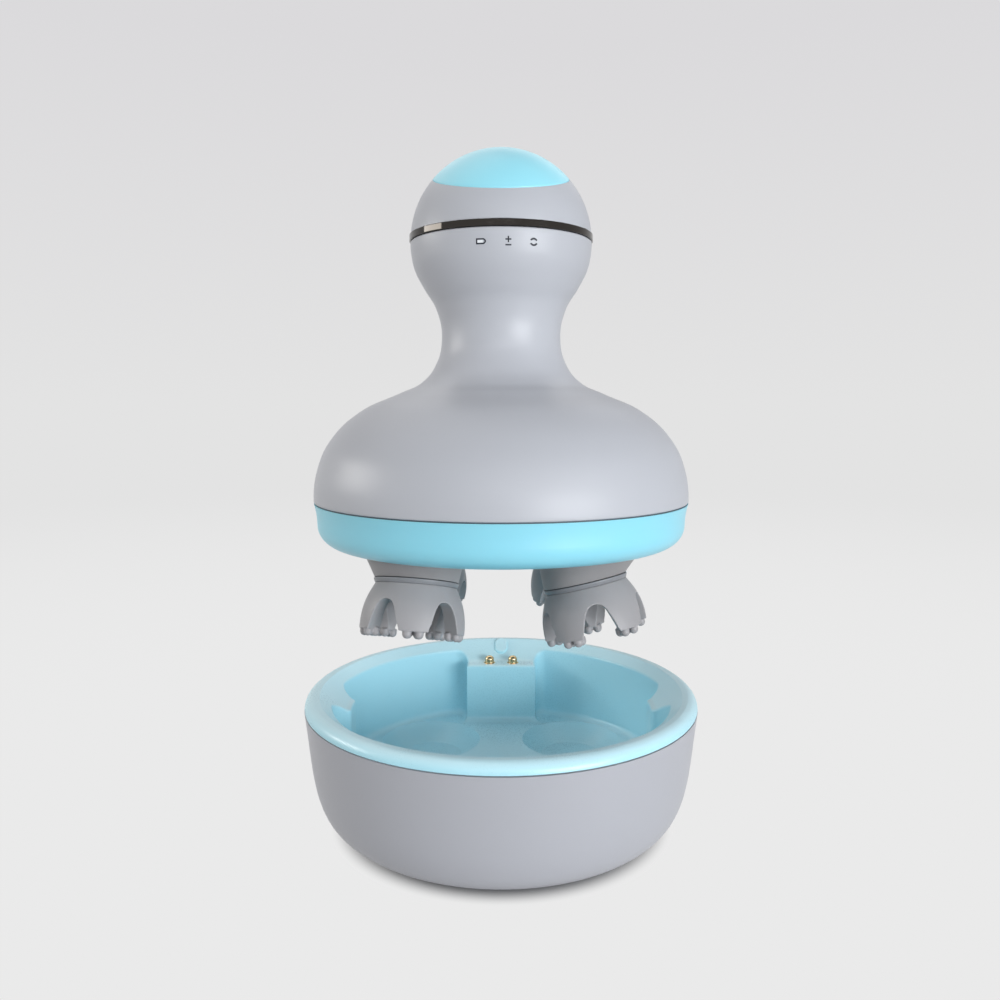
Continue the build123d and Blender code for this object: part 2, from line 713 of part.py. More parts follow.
# ---------- battery and its holder, up through the neck ----------
motor_bottom_z = deck_z + deck_thickness
motor_top_z = motor_bottom_z + gearbox_length + motor_length
battery_z = motor_top_z + holder_wall + thrust_gap
holder_r = battery_r + running_gap + holder_wall
platform = button_plane.offset(board_height - holder_wall)
with BuildPart() as battery_holder:
    with BuildSketch(Plane.XY.offset(battery_z - holder_wall)):
        Circle(holder_r)
    extrude(amount=battery_length + holder_wall - holder_short)
    # ribs that centre it in the neck
    rib_reach = neck_r - shell_wall - boot_gap
    with BuildSketch(Plane.XY.offset(seam_z + rib_low)):
        with PolarLocations((holder_r - holder_wall / 2 + rib_reach) / 2, 4):
            Rectangle(rib_reach - holder_r + holder_wall / 2, holder_wall)
    extrude(amount=rib_height)
    # leaning platform for the control board
    with BuildSketch(platform):
        Circle(board_r)
    extrude(amount=holder_wall)
    with BuildSketch(platform):
        with Locations((0, prop_back), (-prop_side, 0), (prop_side, 0)):
            Circle(prop_r)
    extrude(amount=-prop_length)
    with BuildSketch(Plane.XY.offset(battery_z)):
        Circle(battery_r + running_gap)
    extrude(amount=battery_length + thrust_gap, mode=Mode.SUBTRACT)
    # seat for the ring-shaped light board
    with BuildSketch(Plane.XY.offset(seam_z + light_board_z - holder_wall)):
        Circle(holder_r + light_seat)
        Circle(holder_r - holder_wall / 2, mode=Mode.SUBTRACT)
    extrude(amount=holder_wall)
keep(battery_holder.part, "battery_holder")

with BuildPart() as battery_cell:
    with BuildSketch(Plane.XY.offset(battery_z)):
        Circle(battery_r)
    extrude(amount=battery_length - battery_cap)
    fillet(battery_cell.edges().group_by(Axis.Z)[-1], 0.8 * battery_cap)
    with BuildSketch(Plane.XY.offset(battery_z + battery_length - battery_cap)):
        Circle(battery_r / 3)
    extrude(amount=0.9 * battery_cap)
keep(battery_cell.part, "battery_cell")

with BuildPart() as light_board:
    with BuildSketch(Plane.XY.offset(seam_z + light_board_z)):
        Circle(light_board_r)
        Circle(holder_r + running_gap, mode=Mode.SUBTRACT)
    extrude(amount=board_thickness)
    # lamps behind the touch marks
    with BuildSketch(Plane.XY.offset(seam_z + light_board_z + board_thickness)):
        with PolarLocations(light_board_r - lamp_inset, 3, start_angle=-90 - lamp_angle,
                            angular_range=3 * lamp_angle):
            Rectangle(lamp_inset, lamp_inset)
    extrude(amount=lamp_height)
keep(light_board.part, "light_board")

# ---------- ring, seal, deck ----------
spigot_r = shell_r - shell_wall - spigot_gap
spigot_inner_r = spigot_r - spigot_wall
ring_side = (ring_flat_r + ring_corner, ring_corner - ring_height)
plate_inside = ring_plate - ring_height
with BuildPart() as lower_ring:
    with BuildSketch(seam_plane):
        with BuildLine():
            Line((0, -ring_height), (ring_flat_r, -ring_height))
            RadiusArc((ring_flat_r, -ring_height), ring_side, -ring_corner)
            TangentArc(ring_side, (ring_top_r, -gasket), tangent=(0, 1))
            Polyline((ring_top_r, -gasket), (spigot_r, -gasket), (spigot_r, spigot_height),
                     (spigot_inner_r, spigot_height), (spigot_inner_r, plate_inside + ring_plate))
            RadiusArc((spigot_inner_r, plate_inside + ring_plate),
                      (spigot_inner_r - ring_plate, plate_inside), ring_plate)
            Polyline((spigot_inner_r - ring_plate, plate_inside), (0, plate_inside), (0, -ring_height))
        make_face()
    revolve(axis=Axis.Z)
    # posts for the case screws
    with BuildSketch(Plane.XY.offset(ring_z)):
        with PolarLocations(post_place_r, 4):
            Circle(post_r)
    extrude(amount=deck_z - ring_z)
    with BuildSketch(Plane.XY.offset(ring_z)):
        with PolarLocations(post_place_r, 4):
            Circle(screw_r + plate_fit)
    extrude(amount=deck_z - ring_z, mode=Mode.SUBTRACT)
    with BuildSketch(Plane.XY.offset(ring_z)):
        with PolarLocations(post_place_r, 4):
            Circle(screw_head_r + plate_fit)
    extrude(amount=ring_plate + screw_head_height, mode=Mode.SUBTRACT)
    # openings for the four claw heads and the two charge pads
    with BuildSketch(Plane.XY.offset(ring_z)):
        with Locations(*[place for _, place, _, _ in heads]):
            Circle(collar_r + boot_gap)
        with Locations((-contact_pitch / 2, contact_y), (contact_pitch / 2, contact_y)):
            Circle(pad_r)
    extrude(amount=ring_plate, mode=Mode.SUBTRACT)
    # notch that drops over the key
    add(key_form(key_gap).moved(Location((0, 0, dock_travel))), mode=Mode.SUBTRACT)
keep(lower_ring.part, "lower_ring")

with BuildPart() as seam_seal:
    with BuildSketch(Plane.XY.offset(seam_z - gasket)):
        Circle(ring_top_r - gasket)
        Circle(spigot_r, mode=Mode.SUBTRACT)
    extrude(amount=gasket)
keep(seam_seal.part, "seam_seal")

with BuildPart() as charge_pads:
    with BuildSketch(Plane.XY.offset(ring_z)):
        with Locations((-contact_pitch / 2, contact_y), (contact_pitch / 2, contact_y)):
            Circle(pad_r)
    extrude(amount=ring_plate)
    with BuildSketch(Plane.XY.offset(ring_z + ring_plate)):
        with Locations((-contact_pitch / 2, contact_y), (contact_pitch / 2, contact_y)):
            Circle(pad_r + pad_flange)
    extrude(amount=pad_flange)
keep(charge_pads.part, "charge_pads")

deck_r = spigot_r - spigot_wall / 2
bush_top_z = deck_z + deck_thickness + bush_height
with BuildPart() as gear_deck:
    with BuildSketch(Plane.XY.offset(deck_z)):
        Circle(deck_r)
        with PolarLocations(post_place_r, 4):
            Circle(screw_r + plate_fit, mode=Mode.SUBTRACT)
        with Locations((-motor_screw_x, 0), (motor_screw_x, 0)):
            Circle(motor_screw_r, mode=Mode.SUBTRACT)
        # windows between the bushes that lighten the deck
        with PolarLocations(window_place_r, 4):
            SlotOverall(window_length, window_width, rotation=90, mode=Mode.SUBTRACT)
    extrude(amount=deck_thickness)
    with BuildSketch(Plane.XY.offset(deck_z + deck_thickness)):
        with Locations(*[place for _, place, _, _ in heads]):
            Circle(bush_r)
    extrude(amount=bush_height)
    with BuildSketch(Plane.XY.offset(deck_z)):
        with Locations(*[place for _, place, _, _ in heads]):
            Circle(shaft_r + running_gap)
        Circle(output_r + plate_fit)
    extrude(amount=deck_thickness + bush_height, mode=Mode.SUBTRACT)
keep(gear_deck.part, "gear_deck")

with BuildPart() as case_screws:
    with BuildSketch(Plane.XY.offset(ring_z + ring_plate)):
        with PolarLocations(post_place_r, 4):
            Circle(screw_head_r)
    extrude(amount=screw_head_height)
    with BuildSketch(Plane.XY.offset(ring_z + ring_plate)):
        with PolarLocations(post_place_r, 4):
            Circle(screw_socket_r)
    extrude(amount=screw_head_height / 2, mode=Mode.SUBTRACT)
    with BuildSketch(Plane.XY.offset(ring_z + ring_plate + screw_head_height)):
        with PolarLocations(post_place_r, 4):
            Circle(screw_r)
    extrude(amount=deck_z + deck_thickness + case_screw_bite - ring_z - ring_plate - screw_head_height)
keep(case_screws.part, "case_screws")

# ---------- motor ----------
with BuildPart() as motor_gearbox:
    with BuildSketch(Plane.XY.offset(motor_bottom_z)):
        Circle(gearbox_r)
    extrude(amount=gearbox_length)
    with BuildSketch(Plane.XY.offset(motor_bottom_z)):
        Circle(output_r + running_gap)
    extrude(amount=gearbox_length - gearbox_end, mode=Mode.SUBTRACT)
    with BuildSketch(Plane.XY.offset(motor_bottom_z)):
        with Locations((-motor_screw_x, 0), (motor_screw_x, 0)):
            Circle(motor_screw_r)
    extrude(amount=motor_screw_bite + thrust_gap, mode=Mode.SUBTRACT)
keep(motor_gearbox.part, "motor_gearbox")

with BuildPart() as motor_can:
    with BuildSketch(Plane.XY.offset(motor_bottom_z + gearbox_length)):
        Circle(motor_r)
    extrude(amount=motor_length)
    fillet(motor_can.edges().group_by(Axis.Z)[-1], motor_r / 12)
keep(motor_can.part, "motor_can")

with BuildPart() as motor_screws:
    with BuildSketch(Plane.XY.offset(deck_z - motor_screw_head)):
        with Locations((-motor_screw_x, 0), (motor_screw_x, 0)):
            Circle(2 * motor_screw_r)
    extrude(amount=motor_screw_head)
    with BuildSketch(Plane.XY.offset(deck_z)):
        with Locations((-motor_screw_x, 0), (motor_screw_x, 0)):
            Circle(motor_screw_r)
    extrude(amount=deck_thickness + motor_screw_bite)
keep(motor_screws.part, "motor_screws")

with BuildPart() as output_shaft:
    with BuildSketch(Plane.XY.offset(gear_bottom_z)):
        Circle(output_r)
    extrude(amount=motor_bottom_z + gearbox_length - gearbox_end - 2 * thrust_gap - gear_bottom_z)
keep(output_shaft.part, "output_shaft")


# ---------- involute gears ----------
def tooth_points(teeth):
    # one flank of a tooth centred on +X: (radius, half angle) from base circle to tip
    pitch = gear_module * teeth / 2
    base = pitch * cos(radians(pressure_angle))
    tip = pitch + gear_module
    involute = tan(radians(pressure_angle)) - radians(pressure_angle)
    half_at_pitch = pi / 2 / teeth - backlash / 2 / pitch
    flank = []
    for share in (0.0, 0.5, 1.0):
        radius = base + (tip - base) * share
        angle = acos(base / radius)
        flank.append((radius, half_at_pitch + involute - (tan(angle) - angle)))
    return flank


def gear_face(teeth, turn):
    root = gear_module * teeth / 2 - 1.25 * gear_module
    base, middle, tip = tooth_points(teeth)

    def at(point, side):
        return (point[0] * cos(side * point[1]), point[0] * sin(side * point[1]))

    foot = root - backlash
    with BuildSketch(mode=Mode.PRIVATE) as tooth:
        with BuildLine():
            Line((foot, 0), at((foot, base[1]), 1))
            Line(at((foot, base[1]), 1), at(base, 1))
            ThreePointArc(at(base, 1), at(middle, 1), at(tip, 1))
            ThreePointArc(at(tip, 1), (tip[0], 0), at(tip, -1))
            ThreePointArc(at(tip, -1), at(middle, -1), at(base, -1))
            Line(at(base, -1), at((foot, base[1]), -1))
            Line(at((foot, base[1]), -1), (foot, 0))
        make_face()
    with BuildSketch(mode=Mode.PRIVATE) as gear:
        Circle(root)
        with PolarLocations(0, teeth, start_angle=turn):
            add(tooth.sketch)
    return gear.sketch


with BuildPart() as sun_gear:
    with BuildSketch(Plane.XY.offset(gear_bottom_z)):
        add(gear_face(sun_teeth, 0))
        Circle(output_r, mode=Mode.SUBTRACT)
    extrude(amount=gear_width)
    with BuildSketch(Plane.XY.offset(gear_bottom_z + gear_width)):
        Circle(sun_hub_r)
        Circle(output_r, mode=Mode.SUBTRACT)
    extrude(amount=deck_z - thrust_gap - gear_bottom_z - gear_width)
keep(sun_gear.part, "sun_gear")

# ---------- claw head pieces, drawn about the claw's own axis ----------
lip_low = claw_length - nod_height
lip_high = lip_low + lip_thickness
crown_low = lip_low - claw_crown
tooth_end = nodule_length - nod_height
bore_r = crank_pin_r + running_gap

with BuildPart() as hub_form:
    with BuildSketch(Plane.XZ):
        with BuildLine():
            Polyline((bore_r, crown_low - hub_flange), (hub_flange_r, crown_low - hub_flange),
                     (hub_flange_r, crown_low), (hub_r, crown_low), (hub_r, lip_low), (lip_r, lip_low))
            ThreePointArc((lip_r, lip_low), (lip_r + lip_swell, (lip_low + lip_high) / 2), (lip_r, lip_high))
            Polyline((lip_r, lip_high), (hub_foot_r, lip_high), (hub_tube_r, hub_top), (bore_r, hub_top),
                     (bore_r, crown_low - hub_flange))
        make_face()
    revolve(axis=Axis.Z)

bell_end = (claw_tip_r - bell_inset, tooth_end)
with BuildPart() as claw_form:
    with BuildSketch(Plane.XZ):
        with BuildLine():
            Line((hub_r, crown_low), (hub_r, lip_low))
            Line((hub_r, lip_low), (claw_neck_r, lip_low))
            ThreePointArc((claw_neck_r, lip_low), (claw_tip_r - claw_belly_in, claw_belly_z), bell_end)
            Line(bell_end, (claw_mouth_r, tooth_end))
            ThreePointArc((claw_mouth_r, tooth_end), (claw_mouth_r - hollow_bow, claw_belly_z),
                          (claw_hollow_r, crown_low))
            Line((claw_hollow_r, crown_low), (hub_r, crown_low))
        make_face()
    revolve(axis=Axis.Z)
    # round-headed arches part the bell into fingers
    arch_top = arch_rise - nod_height
    flare = radians(arch_flare)
    arch_side = (arch_r * cos(flare), arch_top - arch_r + arch_r * sin(flare))
    arch_foot = (arch_side[0] + (arch_side[1] - tooth_end + 1) * tan(flare), tooth_end - 1)
    for finger in range(fingers):
        turn = radians((finger + 0.5) * 360 / fingers)
        arch_plane = Plane(origin=(0, 0, 0), x_dir=(-sin(turn), cos(turn), 0),
                           z_dir=(cos(turn), sin(turn), 0))
        with BuildSketch(arch_plane):
            with BuildLine():
                ThreePointArc((-arch_side[0], arch_side[1]), (0, arch_top), arch_side)
                Polyline(arch_side, arch_foot, (-arch_foot[0], arch_foot[1]), (-arch_side[0], arch_side[1]))
            make_face()
        extrude(amount=claw_tip_r + 2, mode=Mode.SUBTRACT)
    # four domed nodules under each finger
    shank = nodule_length - nodule_r
    with Locations((0, 0, tooth_end)):
        with PolarLocations(0, fingers):
            with Locations(*[(claw_tip_r - nodule_edge - row * nodule_row, side * (1 - row * nodule_taper))
                             for row in (0, 1) for side in (-nodule_pitch / 2, nodule_pitch / 2)]):
                Cylinder(nodule_r, shank, align=(Align.CENTER, Align.CENTER, Align.MAX))
                with Locations((0, 0, -shank)):
                    Sphere(nodule_r)

# ---------- four drive heads ----------
for name, place, lean_turn, finger_turn in heads:
    nod = lean_plane(place, lean_turn)
    pin_low = crown_low - hub_flange - thrust_gap
    web_z = gear_bottom_z + web_rise
    offset_at_web = (web_z + web_thickness / 2 - nod_z) * tan(radians(claw_tilt))
    back_turn = lean_turn + 180
    web_middle = (place[0] + offset_at_web / 2 * cos(radians(back_turn)),
                  place[1] + offset_at_web / 2 * sin(radians(back_turn)))
    pin_high = (web_z - nod_z) / cos(radians(claw_tilt)) + web_thickness / 2

    with BuildPart() as crank_shaft:
        with BuildSketch(Plane.XY.offset(web_z)):
            with Locations(place):
                Circle(shaft_r)
        extrude(amount=bush_top_z + thrust_gap + 2 * clip_thickness - web_z)
        with BuildSketch(Plane.XY.offset(bush_top_z + thrust_gap)):
            with Locations(place):
                Circle(clip_r)
        extrude(amount=clip_thickness)
        with BuildSketch(Plane.XY.offset(web_z)):
            with Locations(Location((web_middle[0], web_middle[1], 0), back_turn)):
                SlotCenterToCenter(offset_at_web, 2 * web_half)
        extrude(amount=web_thickness)
        with BuildSketch(nod.offset(pin_low)):
            Circle(crank_pin_r)
        extrude(amount=pin_high - pin_low)
        with BuildSketch(nod.offset(pin_low)):
            Circle(screw_r)
        extrude(amount=claw_screw_bite + 2 * thrust_gap, mode=Mode.SUBTRACT)
    keep(crank_shaft.part, f"crank_shaft_{name}")

    with BuildPart() as claw_screw:
        with BuildSketch(nod.offset(pin_low)):
            Circle(pin_head_r)
        extrude(amount=-pin_head)
        with BuildSketch(nod.offset(pin_low)):
            Circle(screw_r)
        extrude(amount=claw_screw_bite)
    keep(claw_screw.part, f"claw_screw_{name}")

    toward_sun = degrees(atan2(-place[1], -place[0]))
    with BuildPart() as crank_gear:
        with BuildSketch(Plane.XY.offset(gear_bottom_z)):
            with Locations(place):
                add(gear_face(crank_teeth, toward_sun))
        extrude(amount=gear_width)
        with BuildSketch(Plane.XY.offset(gear_bottom_z + gear_width)):
            with Locations(place):
                Circle(hub_r)
        extrude(amount=deck_z - thrust_gap - gear_bottom_z - gear_width)
        boss_low = hub_top + thrust_gap
        with BuildSketch(nod.offset(boss_low)):
            Circle(hub_r)
        extrude(amount=pin_high - boss_low)
        add(crank_shaft.part, mode=Mode.SUBTRACT)
    keep(crank_gear.part, f"crank_gear_{name}")

    with BuildPart() as boot:
        for shrink, how in ((0.0, Mode.ADD), (boot_wall, Mode.SUBTRACT)):
            with BuildSketch(Plane.XY.offset(ring_z)):
                with Locations(place):
                    Circle(collar_r - shrink)
            with BuildSketch(nod.offset(lip_high + boot_gap)):
                Circle(lip_r - boot_tuck - shrink)
            loft(mode=how)
            with BuildSketch(Plane.XY.offset(ring_z)):
                with Locations(place):
                    Circle(collar_r - shrink)
            extrude(amount=collar_height, mode=how)
    keep(boot.part, f"boot_{name}")

    # the claw stays turned the same way while it nods round
    turned = nod.location * Location((0, 0, 0), (0, 0, 1), finger_turn)
    keep(hub_form.part.moved(turned), f"claw_hub_{name}")
    keep(claw_form.part.moved(turned), f"claw_{name}")

print(f"seam {seam_z:.3f}  ring underside {ring_z:.3f}  docked {docked_ring_z:.3f}  nod {nod_z:.3f}")
print(f"head place {head_place:.3f}  dish radius {dish_r:.3f}  dish floor {dish_z:.3f}")
print(f"button axis {tuple(round(v, 5) for v in button_plane.z_dir)}")
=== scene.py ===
import math
import bpy
from mathutils import Matrix, Vector


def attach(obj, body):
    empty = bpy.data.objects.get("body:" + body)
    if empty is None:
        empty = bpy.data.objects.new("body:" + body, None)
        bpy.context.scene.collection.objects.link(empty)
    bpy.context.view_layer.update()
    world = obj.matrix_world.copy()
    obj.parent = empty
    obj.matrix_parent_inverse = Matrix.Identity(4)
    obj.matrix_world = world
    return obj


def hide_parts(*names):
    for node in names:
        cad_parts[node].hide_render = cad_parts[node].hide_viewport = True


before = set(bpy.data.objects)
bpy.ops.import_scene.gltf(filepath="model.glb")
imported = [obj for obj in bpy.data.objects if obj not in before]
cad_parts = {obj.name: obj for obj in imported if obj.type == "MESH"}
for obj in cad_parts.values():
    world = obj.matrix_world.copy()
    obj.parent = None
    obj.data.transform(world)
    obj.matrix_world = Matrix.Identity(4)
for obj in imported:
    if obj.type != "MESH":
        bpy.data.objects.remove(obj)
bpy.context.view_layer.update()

mm = 0.001
hair = 0.001 * mm       # what a test of a vertex's place allows for
scene = bpy.context.scene
scene.view_settings.view_transform = "Standard"

# heights that the massager's pieces share, in millimetres above the floor
levels = {"seam": 90.012, "ringUnder": 78.562, "ball": 158.012, "nod": 69.762}


def tone(red, green, blue):
    # a screen colour from 0 to 255 as the linear colour a shader wants
    out = []
    for value in (red, green, blue):
        share = value / 255
        out.append(share / 12.92 if share <= 0.04045 else ((share + 0.055) / 1.055) ** 2.4)
    return (out[0], out[1], out[2], 1.0)


def pickOnly(piece):
    if bpy.context.mode != "OBJECT":
        bpy.ops.object.mode_set(mode="OBJECT")
    bpy.ops.object.select_all(action="DESELECT")
    piece.select_set(True)
    bpy.context.view_layer.objects.active = piece


def pickNone():
    if bpy.context.mode != "OBJECT":
        bpy.ops.object.mode_set(mode="OBJECT")
    bpy.ops.object.select_all(action="DESELECT")


def openEdit(piece, selectMode="VERT"):
    pickOnly(piece)
    bpy.ops.object.mode_set(mode="EDIT")
    bpy.ops.mesh.select_mode(type=selectMode)


def selectVerts(piece, test):
    # selects in edit mode the vertices whose place passes the test
    bpy.ops.mesh.select_all(action="DESELECT")
    bpy.ops.object.mode_set(mode="OBJECT")
    for vert in piece.data.vertices:
        vert.select = bool(test(vert.co))
    bpy.ops.object.mode_set(mode="EDIT")


def addModifier(piece, kind, **settings):
    modifier = piece.modifiers.new(kind.title(), kind)
    for name, value in settings.items():
        setattr(modifier, name, value)


def thicken(piece, wall):
    # a wall that grows inwards
    addModifier(piece, "SOLIDIFY", thickness=wall * mm, offset=-1)


def roundEdges(piece, width, segments, sharperThan):
    addModifier(piece, "BEVEL", width=width * mm, segments=segments, limit_method="ANGLE",
                angle_limit=math.radians(sharperThan))


def applyAll(piece):
    pickOnly(piece)
    for modifier in list(piece.modifiers):
        bpy.ops.object.modifier_apply(modifier=modifier.name)


def settle(piece, angle):
    # the place goes into the mesh, and edges flatter than the angle are shaded smooth
    pickOnly(piece)
    bpy.ops.object.transform_apply(location=True, rotation=True, scale=True)
    bpy.ops.object.shade_smooth_by_angle(angle=math.radians(angle))


def cleanSkin(piece):
    # doubles merged and faces turned outwards
    openEdit(piece)
    bpy.ops.mesh.select_all(action="SELECT")
    bpy.ops.mesh.remove_doubles(threshold=0.004 * mm)
    bpy.ops.mesh.normals_make_consistent(inside=False)
    bpy.ops.object.mode_set(mode="OBJECT")


def joinPieces(pieces, name):
    pickOnly(pieces[0])
    for piece in pieces[1:]:
        piece.select_set(True)
    bpy.ops.object.join()
    pieces[0].name = name
    return pieces[0]


def drawLine(name, anchors, closed=False, steps=8):
    # a Bezier line in the XZ plane, made a chain of edges; an anchor is its radius and height and,
    # if wanted, its kind of handle, or the radius and height of each of its two handles
    pickNone()
    bpy.ops.curve.primitive_bezier_curve_add(location=(0, 0, 0))
    line = bpy.context.object
    line.name = name
    spline = line.data.splines[0]
    spline.bezier_points.add(len(anchors) - 2)
    for point, anchor in zip(spline.bezier_points, anchors):
        point.co = (anchor[0] * mm, 0, anchor[1] * mm)
        kind = anchor[2] if len(anchor) > 2 else "AUTO"
        free = isinstance(kind, tuple)
        point.handle_left_type = "FREE" if free else kind
        point.handle_right_type = "FREE" if free else kind
        if free:
            point.handle_left = (kind[0] * mm, 0, kind[1] * mm)
            point.handle_right = (kind[2] * mm, 0, kind[3] * mm)
    spline.use_cyclic_u = closed
    spline.resolution_u = steps
    line.data.resolution_u = steps
    pickOnly(line)
    bpy.ops.object.convert(target="MESH")
    return bpy.context.object


def spinLine(line, turns):
    # spins the chain of edges round the vertical axis
    openEdit(line)
    bpy.ops.mesh.select_all(action="SELECT")
    bpy.ops.mesh.spin(steps=turns, angle=2 * math.pi, center=(0, 0, 0), axis=(0, 0, 1))
    bpy.ops.object.mode_set(mode="OBJECT")
    cleanSkin(line)
    return line


# node groups that the materials share
def makeGroup(name, inputs, outputs):
    group = bpy.data.node_groups.new(name, "ShaderNodeTree")
    for label, kind, value in inputs:
        socket = group.interface.new_socket(label, in_out="INPUT", socket_type=kind)
        socket.default_value = value
    for label, kind in outputs:
        group.interface.new_socket(label, in_out="OUTPUT", socket_type=kind)
    start = group.nodes.new("NodeGroupInput")
    end = group.nodes.new("NodeGroupOutput")
    return group, start, end


def addNode(tree, kind, sockets=None, **settings):
    node = tree.nodes.new(kind)
    for name, value in settings.items():
        setattr(node, name, value)
    for name, value in (sockets or {}).items():
        node.inputs[name].default_value = value
    return node


def makeHandledTone():
    # slow drift of a colour, with a mask of where it has been rubbed
    group, start, end = makeGroup(
        "handledTone",
        [("Colour", "NodeSocketColor", (1, 1, 1, 1)), ("Size", "NodeSocketFloat", 30.0),
         ("Depth", "NodeSocketFloat", 0.1)],
        [("Colour", "NodeSocketColor"), ("Rub", "NodeSocketFloat")])
    link = group.links.new
    coords = addNode(group, "ShaderNodeTexCoord")
    clouds = addNode(group, "ShaderNodeTexNoise", {"Detail": 3.0, "Roughness": 0.55})
    spread = addNode(group, "ShaderNodeMapRange", {"From Min": 0.35, "From Max": 0.65}, clamp=True)
    level = addNode(group, "ShaderNodeMath", operation="MULTIPLY")
    darker = addNode(group, "ShaderNodeHueSaturation", {"Value": 0.82, "Saturation": 1.12})
    blend = addNode(group, "ShaderNodeMix", data_type="RGBA")
    link(coords.outputs["Object"], clouds.inputs["Vector"])
    link(start.outputs["Size"], clouds.inputs["Scale"])
    link(clouds.outputs["Fac"], spread.inputs["Value"])
    link(spread.outputs["Result"], level.inputs[0])
    link(start.outputs["Depth"], level.inputs[1])
    link(start.outputs["Colour"], darker.inputs["Color"])
    link(level.outputs[0], blend.inputs["Factor"])
    link(start.outputs["Colour"], blend.inputs["A"])
    link(darker.outputs["Color"], blend.inputs["B"])
    link(blend.outputs["Result"], end.inputs["Colour"])
    link(spread.outputs["Result"], end.inputs["Rub"])
    return group


def makeSparkGrain():
    # the fine pitted texture that a spark-eroded mould leaves, as a height and a roughness
    group, start, end = makeGroup(
        "sparkGrain",
        [("Size", "NodeSocketFloat", 2500.0), ("Smooth", "NodeSocketFloat", 0.4),
         ("Rough", "NodeSocketFloat", 0.5), ("Rub", "NodeSocketFloat", 0.0)],
        [("Height", "NodeSocketFloat"), ("Roughness", "NodeSocketFloat")])
    link = group.links.new
    coords = addNode(group, "ShaderNodeTexCoord")
    pits = addNode(group, "ShaderNodeTexVoronoi", feature="SMOOTH_F1")
    fine = addNode(group, "ShaderNodeTexNoise", {"Detail": 4.0, "Roughness": 0.6})
    both = addNode(group, "ShaderNodeMath", operation="ADD")
    between = addNode(group, "ShaderNodeMapRange", {"From Min": 0.5, "From Max": 1.3})
    polish = addNode(group, "ShaderNodeMath", operation="MULTIPLY_ADD")
    polish.inputs[1].default_value = -0.06      # how much smoother the rubbed places are
    link(coords.outputs["Object"], pits.inputs["Vector"])
    link(coords.outputs["Object"], fine.inputs["Vector"])
    link(start.outputs["Size"], pits.inputs["Scale"])
    link(start.outputs["Size"], fine.inputs["Scale"])
    link(pits.outputs["Distance"], both.inputs[0])
    link(fine.outputs["Fac"], both.inputs[1])
    link(both.outputs[0], between.inputs["Value"])
    link(start.outputs["Smooth"], between.inputs["To Min"])
    link(start.outputs["Rough"], between.inputs["To Max"])
    link(start.outputs["Rub"], polish.inputs[0])
    link(between.outputs["Result"], polish.inputs[2])
    link(both.outputs[0], end.inputs["Height"])
    link(polish.outputs[0], end.inputs["Roughness"])
    return group


handledTone = makeHandledTone()
sparkGrain = makeSparkGrain()


def newMaterial(name):
    material = bpy.data.materials.new(name)
    material.use_nodes = True
    tree = material.node_tree
    return material, tree, tree.nodes["Principled BSDF"]


def mouldedMaterial(name, look):
    # moulded plastic or rubber: drifting colour, pitted grain, and what else the look names
    roughSpread = 0.05      # to either side of the look's roughness
    material, tree, shader = newMaterial(name)
    colour = addNode(tree, "ShaderNodeGroup", node_tree=handledTone)
    colour.inputs["Colour"].default_value = look["colour"]
    colour.inputs["Size"].default_value = look.get("driftSize", 30)
    colour.inputs["Depth"].default_value = look.get("drift", 0.15)
    grain = addNode(tree, "ShaderNodeGroup", node_tree=sparkGrain)
    grain.inputs["Size"].default_value = look.get("grainSize", 2600)
    grain.inputs["Smooth"].default_value = look["rough"] - roughSpread
    grain.inputs["Rough"].default_value = look["rough"] + roughSpread
    bump = addNode(tree, "ShaderNodeBump",
                   {"Strength": look.get("grain", 0.15), "Distance": 0.03 * mm})
    link = tree.links.new
    link(colour.outputs["Colour"], shader.inputs["Base Color"])
    link(colour.outputs["Rub"], grain.inputs["Rub"])
    link(grain.outputs["Roughness"], shader.inputs["Roughness"])
    link(grain.outputs["Height"], bump.inputs["Height"])
    link(bump.outputs["Normal"], shader.inputs["Normal"])
    for socket in ("Metallic", "Specular IOR Level", "Coat Weight", "Coat Roughness",
                   "Sheen Weight", "Subsurface Weight", "Subsurface Scale", "Subsurface Radius"):
        if socket in look:
            shader.inputs[socket].default_value = look[socket]
    if "paintedTopLight" in look:
        # painted light: what faces up is given a paler colour, which stands in for light falling
        # from above
        facing = addNode(tree, "ShaderNodeNewGeometry")
        split = addNode(tree, "ShaderNodeSeparateXYZ")
        topLightShare = addNode(tree, "ShaderNodeMapRange", {"From Min": 0.25, "From Max": 0.95},
                        clamp=True)
        topLightTint = addNode(tree, "ShaderNodeMix", data_type="RGBA")
        topLightTint.inputs["B"].default_value = look["paintedTopLight"]
        link(facing.outputs["Normal"], split.inputs["Vector"])
        link(split.outputs["Z"], topLightShare.inputs["Value"])
        link(topLightShare.outputs["Result"], topLightTint.inputs["Factor"])
        link(colour.outputs["Colour"], topLightTint.inputs["A"])
        link(topLightTint.outputs["Result"], shader.inputs["Base Color"])
    return material


